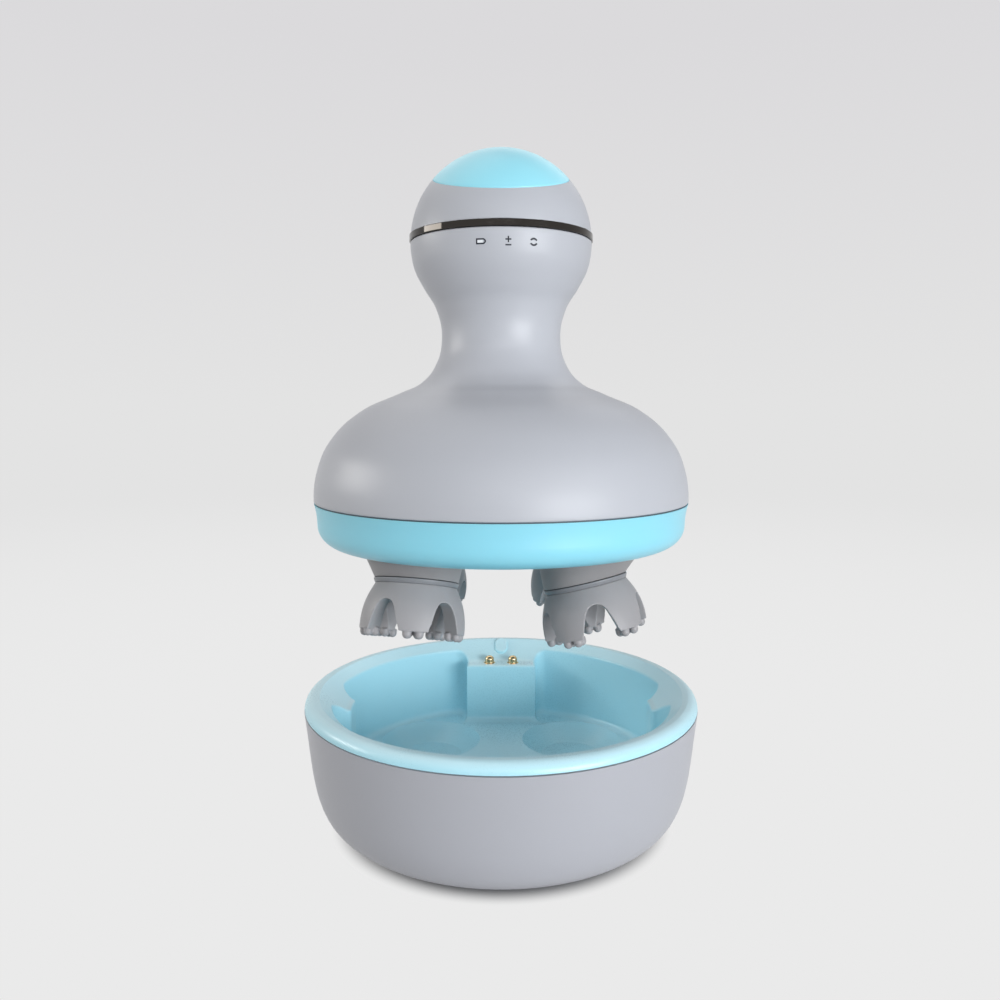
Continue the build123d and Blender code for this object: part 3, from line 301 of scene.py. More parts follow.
def metalMaterial(name, look):
    # turned or plated metal: rings of fine tool marks about the vertical, and a slow stain
    material, tree, shader = newMaterial(name)
    coords = addNode(tree, "ShaderNodeTexCoord")
    squeeze = addNode(tree, "ShaderNodeMapping", {"Scale": look["streaks"]})
    lines = addNode(tree, "ShaderNodeTexNoise", {"Scale": 1.0, "Detail": 5.0, "Roughness": 0.6})
    ramp = addNode(tree, "ShaderNodeMapRange",
                   {"To Min": look["rough"] - 0.06, "To Max": look["rough"] + 0.10})
    colour = addNode(tree, "ShaderNodeGroup", node_tree=handledTone)
    colour.inputs["Colour"].default_value = look["colour"]
    colour.inputs["Size"].default_value = 220
    colour.inputs["Depth"].default_value = 0.3
    bump = addNode(tree, "ShaderNodeBump", {"Strength": 0.12, "Distance": 0.01 * mm})
    link = tree.links.new
    link(coords.outputs["Object"], squeeze.inputs["Vector"])
    link(squeeze.outputs["Vector"], lines.inputs["Vector"])
    link(lines.outputs["Fac"], ramp.inputs["Value"])
    link(ramp.outputs["Result"], shader.inputs["Roughness"])
    link(lines.outputs["Fac"], bump.inputs["Height"])
    link(bump.outputs["Normal"], shader.inputs["Normal"])
    link(colour.outputs["Colour"], shader.inputs["Base Color"])
    shader.inputs["Metallic"].default_value = 1.0
    return material


def boardMaterial(name, look):
    # a printed board: lacquer over rows of slightly raised tracks
    material, tree, shader = newMaterial(name)
    coords = addNode(tree, "ShaderNodeTexCoord")
    tracks = addNode(tree, "ShaderNodeTexBrick", {
        "Scale": look["trackSize"], "Color1": look["colour"], "Color2": look["second"],
        "Mortar": look["track"], "Mortar Size": 0.03})
    bump = addNode(tree, "ShaderNodeBump", {"Strength": 0.3, "Distance": 0.03 * mm})
    link = tree.links.new
    link(coords.outputs["Object"], tracks.inputs["Vector"])
    link(tracks.outputs["Color"], shader.inputs["Base Color"])
    link(tracks.outputs["Fac"], bump.inputs["Height"])
    link(bump.outputs["Normal"], shader.inputs["Normal"])
    shader.inputs["Roughness"].default_value = 0.35
    shader.inputs["Coat Weight"].default_value = 0.4
    return material


shellGrey = mouldedMaterial("shellGrey", {
    "colour": tone(188, 190, 196), "rough": 0.44, "drift": 0.10, "driftSize": 18,
    "grain": 0.16, "grainSize": 3200, "Specular IOR Level": 0.42,
    "Coat Weight": 0.06, "Coat Roughness": 0.45})
# a darker copy of the shell's grey: the difference is painted shade on the bowl, whose side faces
# slightly down
bowlGreyShaded = mouldedMaterial("bowlGreyShaded", {
    "colour": tone(180, 181, 187), "rough": 0.42, "drift": 0.12, "driftSize": 22,
    "grain": 0.16, "grainSize": 3000, "Specular IOR Level": 0.42})
gripBlue = mouldedMaterial("gripBlue", {
    "colour": tone(148, 222, 240), "rough": 0.40, "drift": 0.08, "driftSize": 25,
    "grain": 0.08, "Coat Weight": 0.10, "Coat Roughness": 0.30,
    "Subsurface Weight": 0.12, "Subsurface Scale": 2.0 * mm, "Subsurface Radius": (0.4, 0.9, 1.0)})
# a paler copy of the ring's blue: the difference is painted light on the button's top, which faces
# up
buttonBlueTopLit = mouldedMaterial("buttonBlueTopLit", {
    "colour": tone(160, 234, 250), "rough": 0.40, "drift": 0.06, "driftSize": 40,
    "grain": 0.08, "Coat Weight": 0.10, "Coat Roughness": 0.30})
# the tray's paler colour on faces that look up is painted light from above
trayBlue = mouldedMaterial("trayBlue", {
    "colour": tone(184, 235, 248), "paintedTopLight": tone(213, 247, 255), "rough": 0.34,
    "drift": 0.08, "driftSize": 30,
    "grain": 0.08, "Coat Weight": 0.08, "Coat Roughness": 0.25})
bandBlack = mouldedMaterial("bandBlack", {
    "colour": tone(66, 63, 60), "rough": 0.10, "drift": 0.1, "driftSize": 60,
    "grain": 0.0, "Metallic": 1.0})
sealDark = mouldedMaterial("sealDark", {
    "colour": tone(70, 84, 92), "rough": 0.6, "grain": 0.2})
clawSilicone = mouldedMaterial("clawSilicone", {
    "colour": tone(160, 158, 160), "rough": 0.50, "drift": 0.18, "driftSize": 90,
    "grain": 0.18, "grainSize": 4200, "Sheen Weight": 0.05,
    "Subsurface Weight": 0.10, "Subsurface Scale": 1.5 * mm, "Subsurface Radius": (1.0, 0.9, 0.8)})
bootSilicone = mouldedMaterial("bootSilicone", {
    "colour": tone(146, 144, 145), "rough": 0.52, "drift": 0.16, "driftSize": 110,
    "grain": 0.18, "grainSize": 4200, "Sheen Weight": 0.05,
    "Subsurface Weight": 0.08, "Subsurface Scale": 1.0 * mm, "Subsurface Radius": (1.0, 0.9, 0.8)})
hubPlastic = mouldedMaterial("hubPlastic", {
    "colour": tone(128, 130, 134), "rough": 0.45, "drift": 0.15, "grain": 0.2})
platePlastic = mouldedMaterial("platePlastic", {
    "colour": tone(176, 178, 183), "rough": 0.55, "drift": 0.2, "grain": 0.5, "grainSize": 1800})
footRubber = mouldedMaterial("footRubber", {
    "colour": tone(92, 94, 98), "rough": 0.75, "drift": 0.3, "driftSize": 80, "grain": 0.5,
    "grainSize": 1500, "Sheen Weight": 0.15})
gearPlastic = mouldedMaterial("gearPlastic", {
    "colour": tone(226, 224, 216), "rough": 0.36, "drift": 0.2, "driftSize": 120, "grain": 0.1})
switchBlack = mouldedMaterial("switchBlack", {
    "colour": tone(38, 38, 40), "rough": 0.5, "drift": 0.2, "grain": 0.3})
batteryWrap = mouldedMaterial("batteryWrap", {
    "colour": tone(64, 104, 150), "rough": 0.3, "drift": 0.25, "driftSize": 70, "grain": 0.05,
    "Coat Weight": 0.5, "Coat Roughness": 0.12})
markInk = mouldedMaterial("markInk", {
    "colour": tone(18, 22, 36), "rough": 0.5, "drift": 0.1, "grain": 0.1})
markWhite = mouldedMaterial("markWhite", {
    "colour": tone(240, 242, 244), "rough": 0.4, "drift": 0.05, "grain": 0.1})
contactGold = metalMaterial("contactGold", {
    "colour": tone(204, 182, 142), "rough": 0.24, "streaks": (300, 300, 2600)})
turnedSteel = metalMaterial("turnedSteel", {
    "colour": tone(176, 178, 182), "rough": 0.3, "streaks": (200, 200, 3000)})
boardGreen = boardMaterial("boardGreen", {
    "colour": tone(36, 96, 66), "second": tone(44, 110, 74),
    "track": tone(84, 150, 104), "trackSize": 420})
print("materials made")

heads = ["front_right", "front_left", "back_left", "back_right"]
finishes = {
    shellGrey: ["main_shell", "head_shell"],
    bowlGreyShaded: ["outer_bowl"],
    gripBlue: ["lower_ring"],
    buttonBlueTopLit: ["top_button"],
    trayBlue: ["tray"],
    bandBlack: ["indicator_band"],
    sealDark: ["seam_seal"],
    clawSilicone: ["claw_" + head for head in heads],
    bootSilicone: ["boot_" + head for head in heads],
    hubPlastic: ["claw_hub_" + head for head in heads],
    platePlastic: ["base_plate", "battery_holder", "gear_deck", "motor_gearbox"],
    footRubber: ["foot_ring"],
    gearPlastic: ["sun_gear"] + ["crank_gear_" + head for head in heads],
    switchBlack: ["tact_switch", "switch_plunger"],
    batteryWrap: ["battery_cell"],
    contactGold: ["contact_pin_left", "contact_pin_right", "contact_barrels", "charge_pads"],
    turnedSteel: ["usb_socket", "base_screws", "case_screws", "motor_screws", "motor_can",
                  "output_shaft"] + ["crank_shaft_" + head for head in heads]
    + ["claw_screw_" + head for head in heads],
    boardGreen: ["charge_board", "control_board", "light_board"],
}
finished = 0
for material, names in finishes.items():
    for name in names:
        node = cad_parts[name]
        node.data.materials.clear()
        node.data.materials.append(material)
        finished += 1
print("CAD pieces finished:", finished, "of", len(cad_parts))

# dome, neck and lower half of the ball
dome = {
    "wall": 2.1,
    "edgeRound": 0.4,
    # side line from the seam to the middle of the ball: radius, and height above the seam
    "side": [(50.35, 0.0, (50.35, -3.0, 50.35, 3.0)), (49.25, 8.5), (45.8, 16.0), (38.0, 23.5),
             (27.3, 28.5), (21.6, 31.2), (17.6, 36.0), (15.9, 43.5), (17.4, 51.0), (20.4, 56.0),
             (22.96, 61.0), (23.75, 64.5), (24.0, 68.05, (24.0, 66.9, 24.0, 69.0))],
}
domeShell = spinLine(drawLine("domeShell", dome["side"]), turns=160)
domeShell.location.z = levels["seam"] * mm
settle(domeShell, angle=60)
thicken(domeShell, dome["wall"])
roundEdges(domeShell, dome["edgeRound"], segments=3, sharperThan=50)
applyAll(domeShell)
settle(domeShell, angle=40)
domeShell.data.materials.append(shellGrey)
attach(domeShell, "massager")
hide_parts("main_shell")
print("dome shell done")

# upper half of the ball, and the button in its opening
ball = {
    "radius": 24.0,
    "wall": 2.0,
    "bandTop": 1.9,        # above the ball centre
    "openingRadius": 17.7,
    "buttonRadius": 17.5,
    "lean": 19.7,          # degrees that the button's axis leans to the front
    "openingRound": 0.22,
    "buttonRound": 0.3,
    "buttonSkirt": 1.6,
}
ballPlace = Vector((0, 0, levels["ball"])) * mm
leanTurn = Matrix.Rotation(math.radians(ball["lean"]), 4, "X")
leanAxis = leanTurn @ Vector((0, 0, 1))


def leaningSphere(name):
    # a sphere about the origin whose pole is the button's axis
    pickNone()
    bpy.ops.mesh.primitive_uv_sphere_add(
        segments=160, ring_count=96, radius=ball["radius"] * mm,
        location=(0, 0, 0), rotation=(math.radians(ball["lean"]), 0, 0))
    piece = bpy.context.object
    piece.name = name
    pickOnly(piece)
    bpy.ops.object.transform_apply(location=True, rotation=True, scale=True)
    return piece


def cutAway(piece, point, normal):
    # takes off what lies on the normal's side of a plane
    openEdit(piece)
    bpy.ops.mesh.select_all(action="SELECT")
    bpy.ops.mesh.bisect(plane_co=point, plane_no=normal, clear_outer=True, clear_inner=False)
    bpy.ops.object.mode_set(mode="OBJECT")


ballCap = leaningSphere("ballCap")
openingRise = math.sqrt(ball["radius"] ** 2 - ball["openingRadius"] ** 2)
cutAway(ballCap, leanAxis * openingRise * mm, leanAxis)
cutAway(ballCap, (0, 0, ball["bandTop"] * mm), (0, 0, -1))
ballCap.location = ballPlace
settle(ballCap, angle=60)
thicken(ballCap, ball["wall"])
roundEdges(ballCap, ball["openingRound"], segments=3, sharperThan=40)
applyAll(ballCap)
settle(ballCap, angle=40)
ballCap.data.materials.append(shellGrey)
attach(ballCap, "massager")
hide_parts("head_shell")

buttonCap = leaningSphere("buttonCap")
buttonRise = math.sqrt(ball["radius"] ** 2 - ball["buttonRadius"] ** 2)
cutAway(buttonCap, leanAxis * buttonRise * mm, -leanAxis)
openEdit(buttonCap)
bpy.ops.mesh.select_all(action="DESELECT")
bpy.ops.mesh.select_non_manifold(extend=False)
skirt = -leanAxis * ball["buttonSkirt"] * mm
bpy.ops.mesh.extrude_edges_move(TRANSFORM_OT_translate={"value": skirt})
bpy.ops.object.mode_set(mode="OBJECT")
buttonCap.location = ballPlace
settle(buttonCap, angle=60)
thicken(buttonCap, ball["wall"])
roundEdges(buttonCap, ball["buttonRound"], segments=4, sharperThan=35)
applyAll(buttonCap)
settle(buttonCap, angle=40)
buttonCap.data.materials.append(buttonBlueTopLit)
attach(buttonCap, "button")
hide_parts("top_button")
print("ball cap and button done")

# band round the ball, and the marks under it
band = {
    # closed section: radius, and height above the ball centre; the sleeve sits inside the ball
    "section": [(20.7, -1.9), (21.75, -1.9), (21.75, 0.14), (24.3, 0.14), (24.3, 1.84),
                (21.75, 1.84), (21.75, 2.8), (20.7, 2.8)],
    "edgeRound": 0.16,
}
mirrorBand = spinLine(drawLine("mirrorBand", [(*corner, "VECTOR") for corner in band["section"]],
                               closed=True, steps=1), turns=192)
roundEdges(mirrorBand, band["edgeRound"], segments=3, sharperThan=30)
applyAll(mirrorBand)
mirrorBand.location = ballPlace
settle(mirrorBand, angle=12)        # below the bevel's first step, so the mirror face stays flat
mirrorBand.data.materials.append(bandBlack)
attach(mirrorBand, "massager")
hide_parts("indicator_band")

marks = {
    "height": -3.4,        # below the ball centre
    "stroke": 0.34,
    "proud": 0.03,         # how far the ink stands off the ball
    # each mark's place is to the right of the middle
    "battery": {"place": -5.1, "length": 1.9, "height": 1.4, "nose": 0.5, "noseShare": 0.35,
                "charge": (1.35, 0.62)},
    "level": {"place": 1.75, "size": 1.45, "apart": 1.3},
    "cycle": {"place": 7.9, "radius": 0.76, "arc": 128, "turn": -64, "steps": 14},
}


def flatMark(name):
    # an empty mesh whose origin is the ball centre, open for drawing in front of the ball
    pickNone()
    bpy.ops.mesh.primitive_plane_add(size=1 * mm, location=(0, 0, 0))
    piece = bpy.context.object
    piece.name = name
    openEdit(piece)
    bpy.ops.mesh.select_all(action="SELECT")
    bpy.ops.mesh.delete(type="VERT")
    return piece


def drawBar(side, height, length, thick):
    # a plate in the open mesh, facing the front
    bpy.ops.mesh.select_all(action="DESELECT")
    bpy.ops.mesh.primitive_plane_add(
        size=1 * mm, location=(side * mm, -ball["radius"] * mm, height * mm),
        rotation=(math.radians(90), 0, 0))
    bpy.ops.transform.resize(value=(length, 1, thick))


def wrapMark(piece, material):
    # subdivides the flat drawing, lays it on the ball and gives it a thickness
    bpy.ops.mesh.select_all(action="SELECT")
    bpy.ops.mesh.subdivide(number_cuts=3)
    bpy.ops.object.mode_set(mode="OBJECT")
    piece.location = ballPlace - Vector((0, 1 * mm, 0))
    addModifier(piece, "SHRINKWRAP", target=domeShell, wrap_method="PROJECT", use_project_y=True,
                use_positive_direction=True, use_negative_direction=True,
                offset=marks["proud"] * mm)
    thicken(piece, 2 * marks["proud"])
    applyAll(piece)
    settle(piece, angle=40)
    piece.data.materials.append(material)
    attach(piece, "massager")


look = marks["battery"]
batteryMark = flatMark("batteryMark")
drawBar(look["place"], marks["height"], look["length"], look["height"])
nose = (look["place"] + look["length"] / 2) * mm
selectVerts(batteryMark, lambda corner: corner.x > nose - hair)
bpy.ops.mesh.extrude_edges_move(TRANSFORM_OT_translate={"value": (look["nose"] * mm, 0, 0)})
bpy.ops.transform.resize(value=(1, 1, look["noseShare"]))
bpy.ops.mesh.select_all(action="SELECT")
bpy.ops.mesh.inset(thickness=marks["stroke"] * mm)
bpy.ops.mesh.delete(type="FACE")
wrapMark(batteryMark, markInk)
batteryCharge = flatMark("batteryCharge")
drawBar(look["place"], marks["height"], *look["charge"])
wrapMark(batteryCharge, markWhite)

look = marks["level"]
levelMark = flatMark("levelMark")
plusHeight = marks["height"] + look["apart"] / 3
minusHeight = marks["height"] - look["apart"] * 2 / 3
drawBar(look["place"], plusHeight, look["size"], marks["stroke"])
drawBar(look["place"], plusHeight, marks["stroke"], look["size"])
drawBar(look["place"], minusHeight, look["size"], marks["stroke"])
wrapMark(levelMark, markInk)

look = marks["cycle"]
cycleMark = flatMark("cycleMark")
cycleCentre = Vector((look["place"], -ball["radius"], marks["height"])) * mm
sliver = marks["stroke"] / 20       # width of the bar that is swept into each arc
for start in (look["turn"], look["turn"] + 180):
    drawBar(look["place"], marks["height"] + look["radius"], sliver, marks["stroke"])
    bpy.ops.transform.rotate(value=math.radians(start), orient_axis="Y",
                             center_override=cycleCentre)
    bpy.ops.mesh.spin(steps=look["steps"], angle=math.radians(look["arc"]), center=cycleCentre,
                      axis=(0, 1, 0))
wrapMark(cycleMark, markInk)
print("band and marks done")

# claws and boots
driveHead = {
    "place": 21.496,       # of each head, in x and in y
    "tilt": 16.0,
    # name, side in x, side in y, and in degrees the way the claw leans and the way of one finger
    "each": [("front_right", 1, -1, -34, 90), ("front_left", -1, -1, 254, -83),
             ("back_left", -1, 1, 146, 90), ("back_right", 1, 1, 74, -90)],
}
clawLook = {
    "fingers": 5,
    # closed section through the bell: radius, and height about the nod centre
    "section": [(4.6, 0.3, "VECTOR"), (4.6, 0.05, "VECTOR"), (6.7, 0.05, "VECTOR"), (6.9, -1.2),
                (7.9, -3.2), (8.5, -6.5), (8.7, -11.2, "VECTOR"), (13.15, -11.2, "VECTOR"),
                (13.05, -8.2), (12.6, -5.4), (11.7, -2.7), (10.25, 0.3, "VECTOR")],
    # half of an arch between two fingers: distance to the side, and height
    "arch": [(0.0, -3.8), (1.5, -4.25), (2.45, -5.4), (3.2, -7.2), (3.9, -9.3), (4.8, -12.0)],
    "archReach": 18.0,     # how far out from the axis the arches are cut
    "fingerEnd": -11.2,
    "tip": -13.0,
    "nodule": 1.12,
    "noduleRows": [(11.8, 1.45), (9.85, 1.2)],   # radius, and half the distance across
    "noduleSink": 0.3,     # how far a nodule's root stands inside its finger
    "fineness": 0.2,
}
hubLook = {
    # closed section: boss under the crown of the silicone, flange that is the lip, bearing tube
    "section": [(2.3, -1.4), (6.5, -1.4), (6.5, 0.0), (4.5, 0.0), (4.5, 0.3), (10.35, 0.3),
                (10.75, 1.25), (10.75, 1.5), (5.3, 1.5), (4.3, 9.1), (2.3, 9.1)],
    "edgeRound": 0.12,
}
bootLook = {
    "collarRadius": 12.75,
    "collarRise": 2.4,
    "lowRadius": 10.6,
    "lowRise": 1.68,       # along the leaning axis from the nod centre
    "wall": 1.0,
}


def turnPicked(angle):
    # turns what is selected in edit mode about the vertical axis
    bpy.ops.transform.rotate(value=angle, orient_axis="Z", center_override=(0, 0, 0))


def repeatAround():
    # copies what is selected in edit mode to the other fingers
    for _ in range(clawLook["fingers"] - 1):
        bpy.ops.mesh.duplicate()
        turnPicked(fingerStep)


def makeArchCutter():
    half = clawLook["arch"]
    outline = [(-side, height) for side, height in reversed(half[1:])] + list(half)
    cutter = drawLine("archCutter", outline, steps=8)
    openEdit(cutter)
    bpy.ops.mesh.select_all(action="SELECT")
    bpy.ops.mesh.edge_face_add()
    reach = (0, clawLook["archReach"] * mm, 0)
    bpy.ops.mesh.extrude_region_move(TRANSFORM_OT_translate={"value": reach})
    bpy.ops.mesh.select_all(action="SELECT")
    bpy.ops.mesh.normals_make_consistent(inside=False)
    turnPicked(-fingerStep / 2 + math.pi / 2)
    repeatAround()
    bpy.ops.object.mode_set(mode="OBJECT")
    return cutter


def makeNodules():
    # domed nodules under the fingers, drawn on one finger and repeated on the others
    nodules = []
    centre = clawLook["tip"] + clawLook["nodule"]
    rootRise = clawLook["fingerEnd"] - centre + clawLook["noduleSink"]
    for radius, side in clawLook["noduleRows"]:
        for place in (-side, side):
            pickNone()
            bpy.ops.mesh.primitive_uv_sphere_add(segments=32, ring_count=20,
                                                 radius=clawLook["nodule"] * mm,
                                                 location=Vector((radius, place, centre)) * mm)
            nodule = bpy.context.object
            openEdit(nodule)
            # the upper half is flattened and drawn up into the finger as a root
            selectVerts(nodule, lambda corner: corner.z > hair)
            bpy.ops.transform.resize(value=(1, 1, 0), center_override=nodule.location)
            bpy.ops.transform.translate(value=(0, 0, rootRise * mm))
            bpy.ops.object.mode_set(mode="OBJECT")
            nodules.append(nodule)
    finger = joinPieces(nodules, "nodules")
    pickOnly(finger)
    bpy.ops.object.transform_apply(location=True, rotation=True, scale=True)
    openEdit(finger)
    bpy.ops.mesh.select_all(action="SELECT")
    repeatAround()
    bpy.ops.object.mode_set(mode="OBJECT")
    return finger


def makeClaw():
    bell = spinLine(drawLine("clawForm", clawLook["section"], closed=True, steps=10), turns=120)
    cutter = makeArchCutter()
    addModifier(bell, "BOOLEAN", object=cutter, operation="DIFFERENCE", solver="EXACT")
    applyAll(bell)
    bpy.data.objects.remove(cutter)
    claw = joinPieces([bell, makeNodules()], "clawForm")
    addModifier(claw, "REMESH", mode="VOXEL", voxel_size=clawLook["fineness"] * mm, adaptivity=0)
    addModifier(claw, "SMOOTH", factor=0.5, iterations=1)
    applyAll(claw)
    return claw


def makeHub():
    hub = spinLine(drawLine("hubForm", [(*corner, "VECTOR") for corner in hubLook["section"]],
                            closed=True, steps=1), turns=96)
    roundEdges(hub, hubLook["edgeRound"], segments=2, sharperThan=30)
    applyAll(hub)
    return hub


def makeBoot(name, place, up):
    # a cone from the ring down to the leaning lip, and a collar up into the ring
    under = levels["ringUnder"] * mm
    pickNone()
    bpy.ops.mesh.primitive_circle_add(vertices=96, radius=bootLook["collarRadius"] * mm,
                                      location=(place.x, place.y, under))
    boot = bpy.context.object
    boot.name = name
    pickOnly(boot)
    bpy.ops.object.transform_apply(location=True, rotation=True, scale=True)
    openEdit(boot, "EDGE")
    bpy.ops.mesh.primitive_circle_add(vertices=96, radius=bootLook["lowRadius"] * mm,
                                      location=place + up * bootLook["lowRise"] * mm,
                                      rotation=upright.rotation_difference(up).to_euler())
    bpy.ops.mesh.select_all(action="SELECT")
    bpy.ops.mesh.bridge_edge_loops(number_cuts=8, interpolation="LINEAR")
    bpy.ops.mesh.select_mode(type="VERT")
    selectVerts(boot, lambda corner: corner.z > under - hair)
    collar = (0, 0, bootLook["collarRise"] * mm)
    bpy.ops.mesh.extrude_edges_move(TRANSFORM_OT_translate={"value": collar})
    bpy.ops.object.mode_set(mode="OBJECT")
    cleanSkin(boot)
    thicken(boot, bootLook["wall"])
    applyAll(boot)
    settle(boot, angle=40)
    return boot


def standCopy(form, name, matrix):
    # a copy of a form with its own mesh, stood in its place
    piece = form.copy()
    piece.data = form.data.copy()
    piece.name = name
    scene.collection.objects.link(piece)
    piece.matrix_world = matrix
    settle(piece, angle=50)
    return piece


fingerStep = 2 * math.pi / clawLook["fingers"]
upright = Vector((0, 0, 1))
tilt = math.radians(driveHead["tilt"])
clawForm = makeClaw()
hubForm = makeHub()
print("claw form done:", len(clawForm.data.polygons), "faces")
for name, sideX, sideY, leanTo, fingerTo in driveHead["each"]:
    # the nod centre, and the leaning axis through it
    place = Vector((sideX * driveHead["place"], sideY * driveHead["place"], levels["nod"])) * mm
    toward = math.radians(leanTo)
    up = Vector((-math.sin(tilt) * math.cos(toward), -math.sin(tilt) * math.sin(toward),
                 math.cos(tilt)))
    across = (Vector((1, 0, 0)) - up * up.x).normalized()
    stand = Matrix((across, up.cross(across), up)).transposed().to_4x4()
    stand.translation = place
    fingerTurn = Matrix.Rotation(math.radians(fingerTo), 4, "Z")

    claw = standCopy(clawForm, "silicone_" + name, stand @ fingerTurn)
    claw.data.materials.append(clawSilicone)
    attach(claw, "claw_" + name)
    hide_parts("claw_" + name)
    hub = standCopy(hubForm, "hub_" + name, stand)
    hub.data.materials.append(hubPlastic)
    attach(hub, "claw_" + name)
    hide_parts("claw_hub_" + name)
    boot = makeBoot("sleeve_" + name, place, up)
    boot.data.materials.append(bootSilicone)
    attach(boot, "crank_" + name)
    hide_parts("boot_" + name)
bpy.data.objects.remove(clawForm)
bpy.data.objects.remove(hubForm)
print("claws and boots done")

# floor, light and camera
camera = {"place": (0, -240.7, 116.1), "pitch": 6.308, "lens": 31.75, "sensor": 36,
          "shift": -0.0011, "nearest": 0.005}
pickNone()
bpy.ops.object.camera_add(location=Vector(camera["place"]) * mm,
                          rotation=(math.radians(90 - camera["pitch"]), 0, 0))
eye = bpy.context.object
eye.name = "studioCamera"
eye.data.lens = camera["lens"]
eye.data.sensor_width = camera["sensor"]
eye.data.shift_x = camera["shift"]
eye.data.clip_start = camera["nearest"]
scene.camera = eye

# the backdrop's colours are what the camera sees; what lights the object is the room and the lamps
backdrop = {
    "near": tone(234, 234, 234),
    "far": tone(227, 227, 227),
    "sky": tone(219, 218, 220),
    "skyRise": 0.36,           # how far up, as a slope, the sky colour is reached
    "spread": (0.10, 1.0),     # metres from the object over which near turns to far
    # the floor shows its own shading, and the shadow on it, inside the first of these radii, and
    # none of it beyond the second
    "shadow": (0.0405, 0.048),
    # the colour the floor has under the lamps, darker than the backdrop's: the shadow under the
    # object is rendered, and this darker colour deepens it with painted shade
    "floor": tone(168, 168, 169),
    "floorRadius": 9,
}


def backdropRays(tree):
    # 1 for the rays that look at the backdrop: the camera's own, mirrored ones, those through glass
    path = addNode(tree, "ShaderNodeLightPath")
    first = addNode(tree, "ShaderNodeMath", operation="MAXIMUM")
    second = addNode(tree, "ShaderNodeMath", operation="MAXIMUM")
    tree.links.new(path.outputs["Is Camera Ray"], first.inputs[0])
    tree.links.new(path.outputs["Is Glossy Ray"], first.inputs[1])
    tree.links.new(first.outputs[0], second.inputs[0])
    tree.links.new(path.outputs["Is Transmission Ray"], second.inputs[1])
    return second.outputs[0]


def shadeByRays(tree, share, lit, seen):
    # the shader that lights the object, and by this share the one that is seen as the backdrop
    pick = addNode(tree, "ShaderNodeMixShader")
    tree.links.new(share, pick.inputs["Fac"])
    tree.links.new(lit, pick.inputs[1])
    tree.links.new(seen, pick.inputs[2])
    return pick.outputs["Shader"]


pickNone()
bpy.ops.mesh.primitive_circle_add(vertices=96, radius=backdrop["floorRadius"], fill_type="NGON",
                                  location=(0, 0, 0))
floor = bpy.context.object
floor.name = "floor"
floorMaterial, tree, shader = newMaterial("paleFloor")
link = tree.links.new
shader.inputs["Base Color"].default_value = backdrop["floor"]
shader.inputs["Roughness"].default_value = 0.6
shader.inputs["Specular IOR Level"].default_value = 0.2
coords = addNode(tree, "ShaderNodeTexCoord")
reach = addNode(tree, "ShaderNodeVectorMath", operation="LENGTH")
spread = addNode(tree, "ShaderNodeMapRange",
                 {"From Min": backdrop["spread"][0], "From Max": backdrop["spread"][1]},
                 clamp=True, interpolation_type="SMOOTHSTEP")
paper = addNode(tree, "ShaderNodeMix", data_type="RGBA")
paper.inputs["A"].default_value = backdrop["near"]
paper.inputs["B"].default_value = backdrop["far"]
shown = addNode(tree, "ShaderNodeEmission")
fade = addNode(tree, "ShaderNodeMapRange",
               {"From Min": backdrop["shadow"][0], "From Max": backdrop["shadow"][1]},
               clamp=True, interpolation_type="SMOOTHSTEP")
share = addNode(tree, "ShaderNodeMath", operation="MULTIPLY")
link(coords.outputs["Object"], reach.inputs[0])
link(reach.outputs["Value"], spread.inputs["Value"])
link(spread.outputs["Result"], paper.inputs["Factor"])
link(paper.outputs["Result"], shown.inputs["Color"])
link(reach.outputs["Value"], fade.inputs["Value"])
link(backdropRays(tree), share.inputs[0])
link(fade.outputs["Result"], share.inputs[1])
mixed = shadeByRays(tree, share.outputs[0], shader.outputs["BSDF"], shown.outputs["Emission"])
link(mixed, tree.nodes["Material Output"].inputs["Surface"])
floor.data.materials.append(floorMaterial)

# the studio's walls give more light than its ceiling
room = {
    "strength": 0.42,
    "walls": (1.0, 1.0, 1.0, 1),
    "ceiling": (0.26, 0.27, 0.29, 1),
    "climb": 0.9,              # how far up, as a slope, the ceiling's colour is reached
}


def climbingLight(tree, slope, strength, low, high, reachedAt):
    # light from every side, of one colour at eye level that turns to another higher up
    climb = addNode(tree, "ShaderNodeMapRange", {"From Max": reachedAt}, clamp=True)
    colour = addNode(tree, "ShaderNodeMix", data_type="RGBA")
    colour.inputs["A"].default_value = low
    colour.inputs["B"].default_value = high
    light = addNode(tree, "ShaderNodeBackground", {"Strength": strength})
    tree.links.new(slope, climb.inputs["Value"])
    tree.links.new(climb.outputs["Result"], colour.inputs["Factor"])
    tree.links.new(colour.outputs["Result"], light.inputs["Color"])
    return light.outputs["Background"]


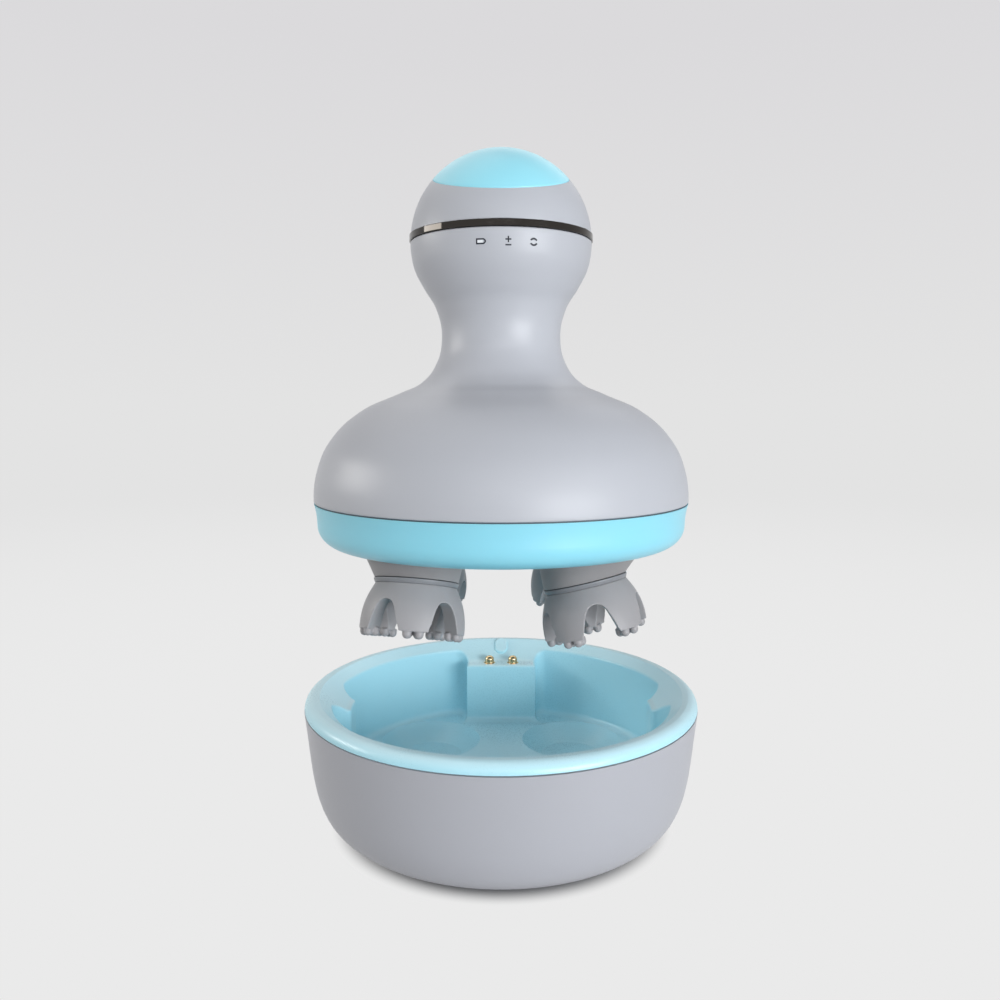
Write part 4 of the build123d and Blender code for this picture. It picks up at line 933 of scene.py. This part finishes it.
world = bpy.data.worlds.new("studioLight")
scene.world = world
world.use_nodes = True
tree = world.node_tree
tree.nodes.clear()
out = addNode(tree, "ShaderNodeOutputWorld")
coords = addNode(tree, "ShaderNodeTexCoord")
split = addNode(tree, "ShaderNodeSeparateXYZ")
tree.links.new(coords.outputs["Generated"], split.inputs["Vector"])
lit = climbingLight(tree, split.outputs["Z"], room["strength"], room["walls"], room["ceiling"],
                    room["climb"])
seen = climbingLight(tree, split.outputs["Z"], 1.0, backdrop["far"], backdrop["sky"],
                     backdrop["skyRise"])
tree.links.new(shadeByRays(tree, backdropRays(tree), lit, seen), out.inputs["Surface"])

# azimuth in degrees from the front to the right; height, distance and size in metres
lamps = {
    "keyRight": {"azimuth": 38, "height": 0.14, "away": 0.80, "size": (0.5, 0.24),
                 "watts": 5.2, "colour": (0.94, 0.97, 1.0)},
    "fillFront": {"azimuth": 0, "height": 0.46, "away": 1.0, "size": (0.6, 0.14),
                  "watts": 1.3, "colour": (0.96, 0.98, 1.0)},
    "stripLeft": {"azimuth": -92, "height": 0.31, "away": 0.8, "size": (0.44, 0.18),
                  "watts": 2.1, "colour": (1.0, 0.985, 0.955)},
    "overheadLeft": {"azimuth": -120, "height": 0.90, "away": 0.45, "size": (0.8, 0.8),
                     "watts": 1.5, "colour": (1.0, 1.0, 1.0)},
    "overheadBack": {"azimuth": 175, "height": 0.60, "away": 0.55, "size": (0.7, 0.3),
                     "watts": 0.6, "colour": (1.0, 1.0, 1.0)},
}
lampAim = Vector((0, 0, 0.08))      # the middle of the object
for name, lamp in lamps.items():
    turn = math.radians(lamp["azimuth"])
    place = Vector((lamp["away"] * math.sin(turn), -lamp["away"] * math.cos(turn), lamp["height"]))
    pickNone()
    bpy.ops.object.light_add(type="AREA", location=place)
    softbox = bpy.context.object
    softbox.name = name
    softbox.rotation_euler = (lampAim - place).to_track_quat("-Z", "Y").to_euler()
    softbox.data.shape = "RECTANGLE"
    softbox.data.size = lamp["size"][0]
    softbox.data.size_y = lamp["size"][1]
    softbox.data.energy = lamp["watts"]
    softbox.data.color = lamp["colour"]
print("studio set")
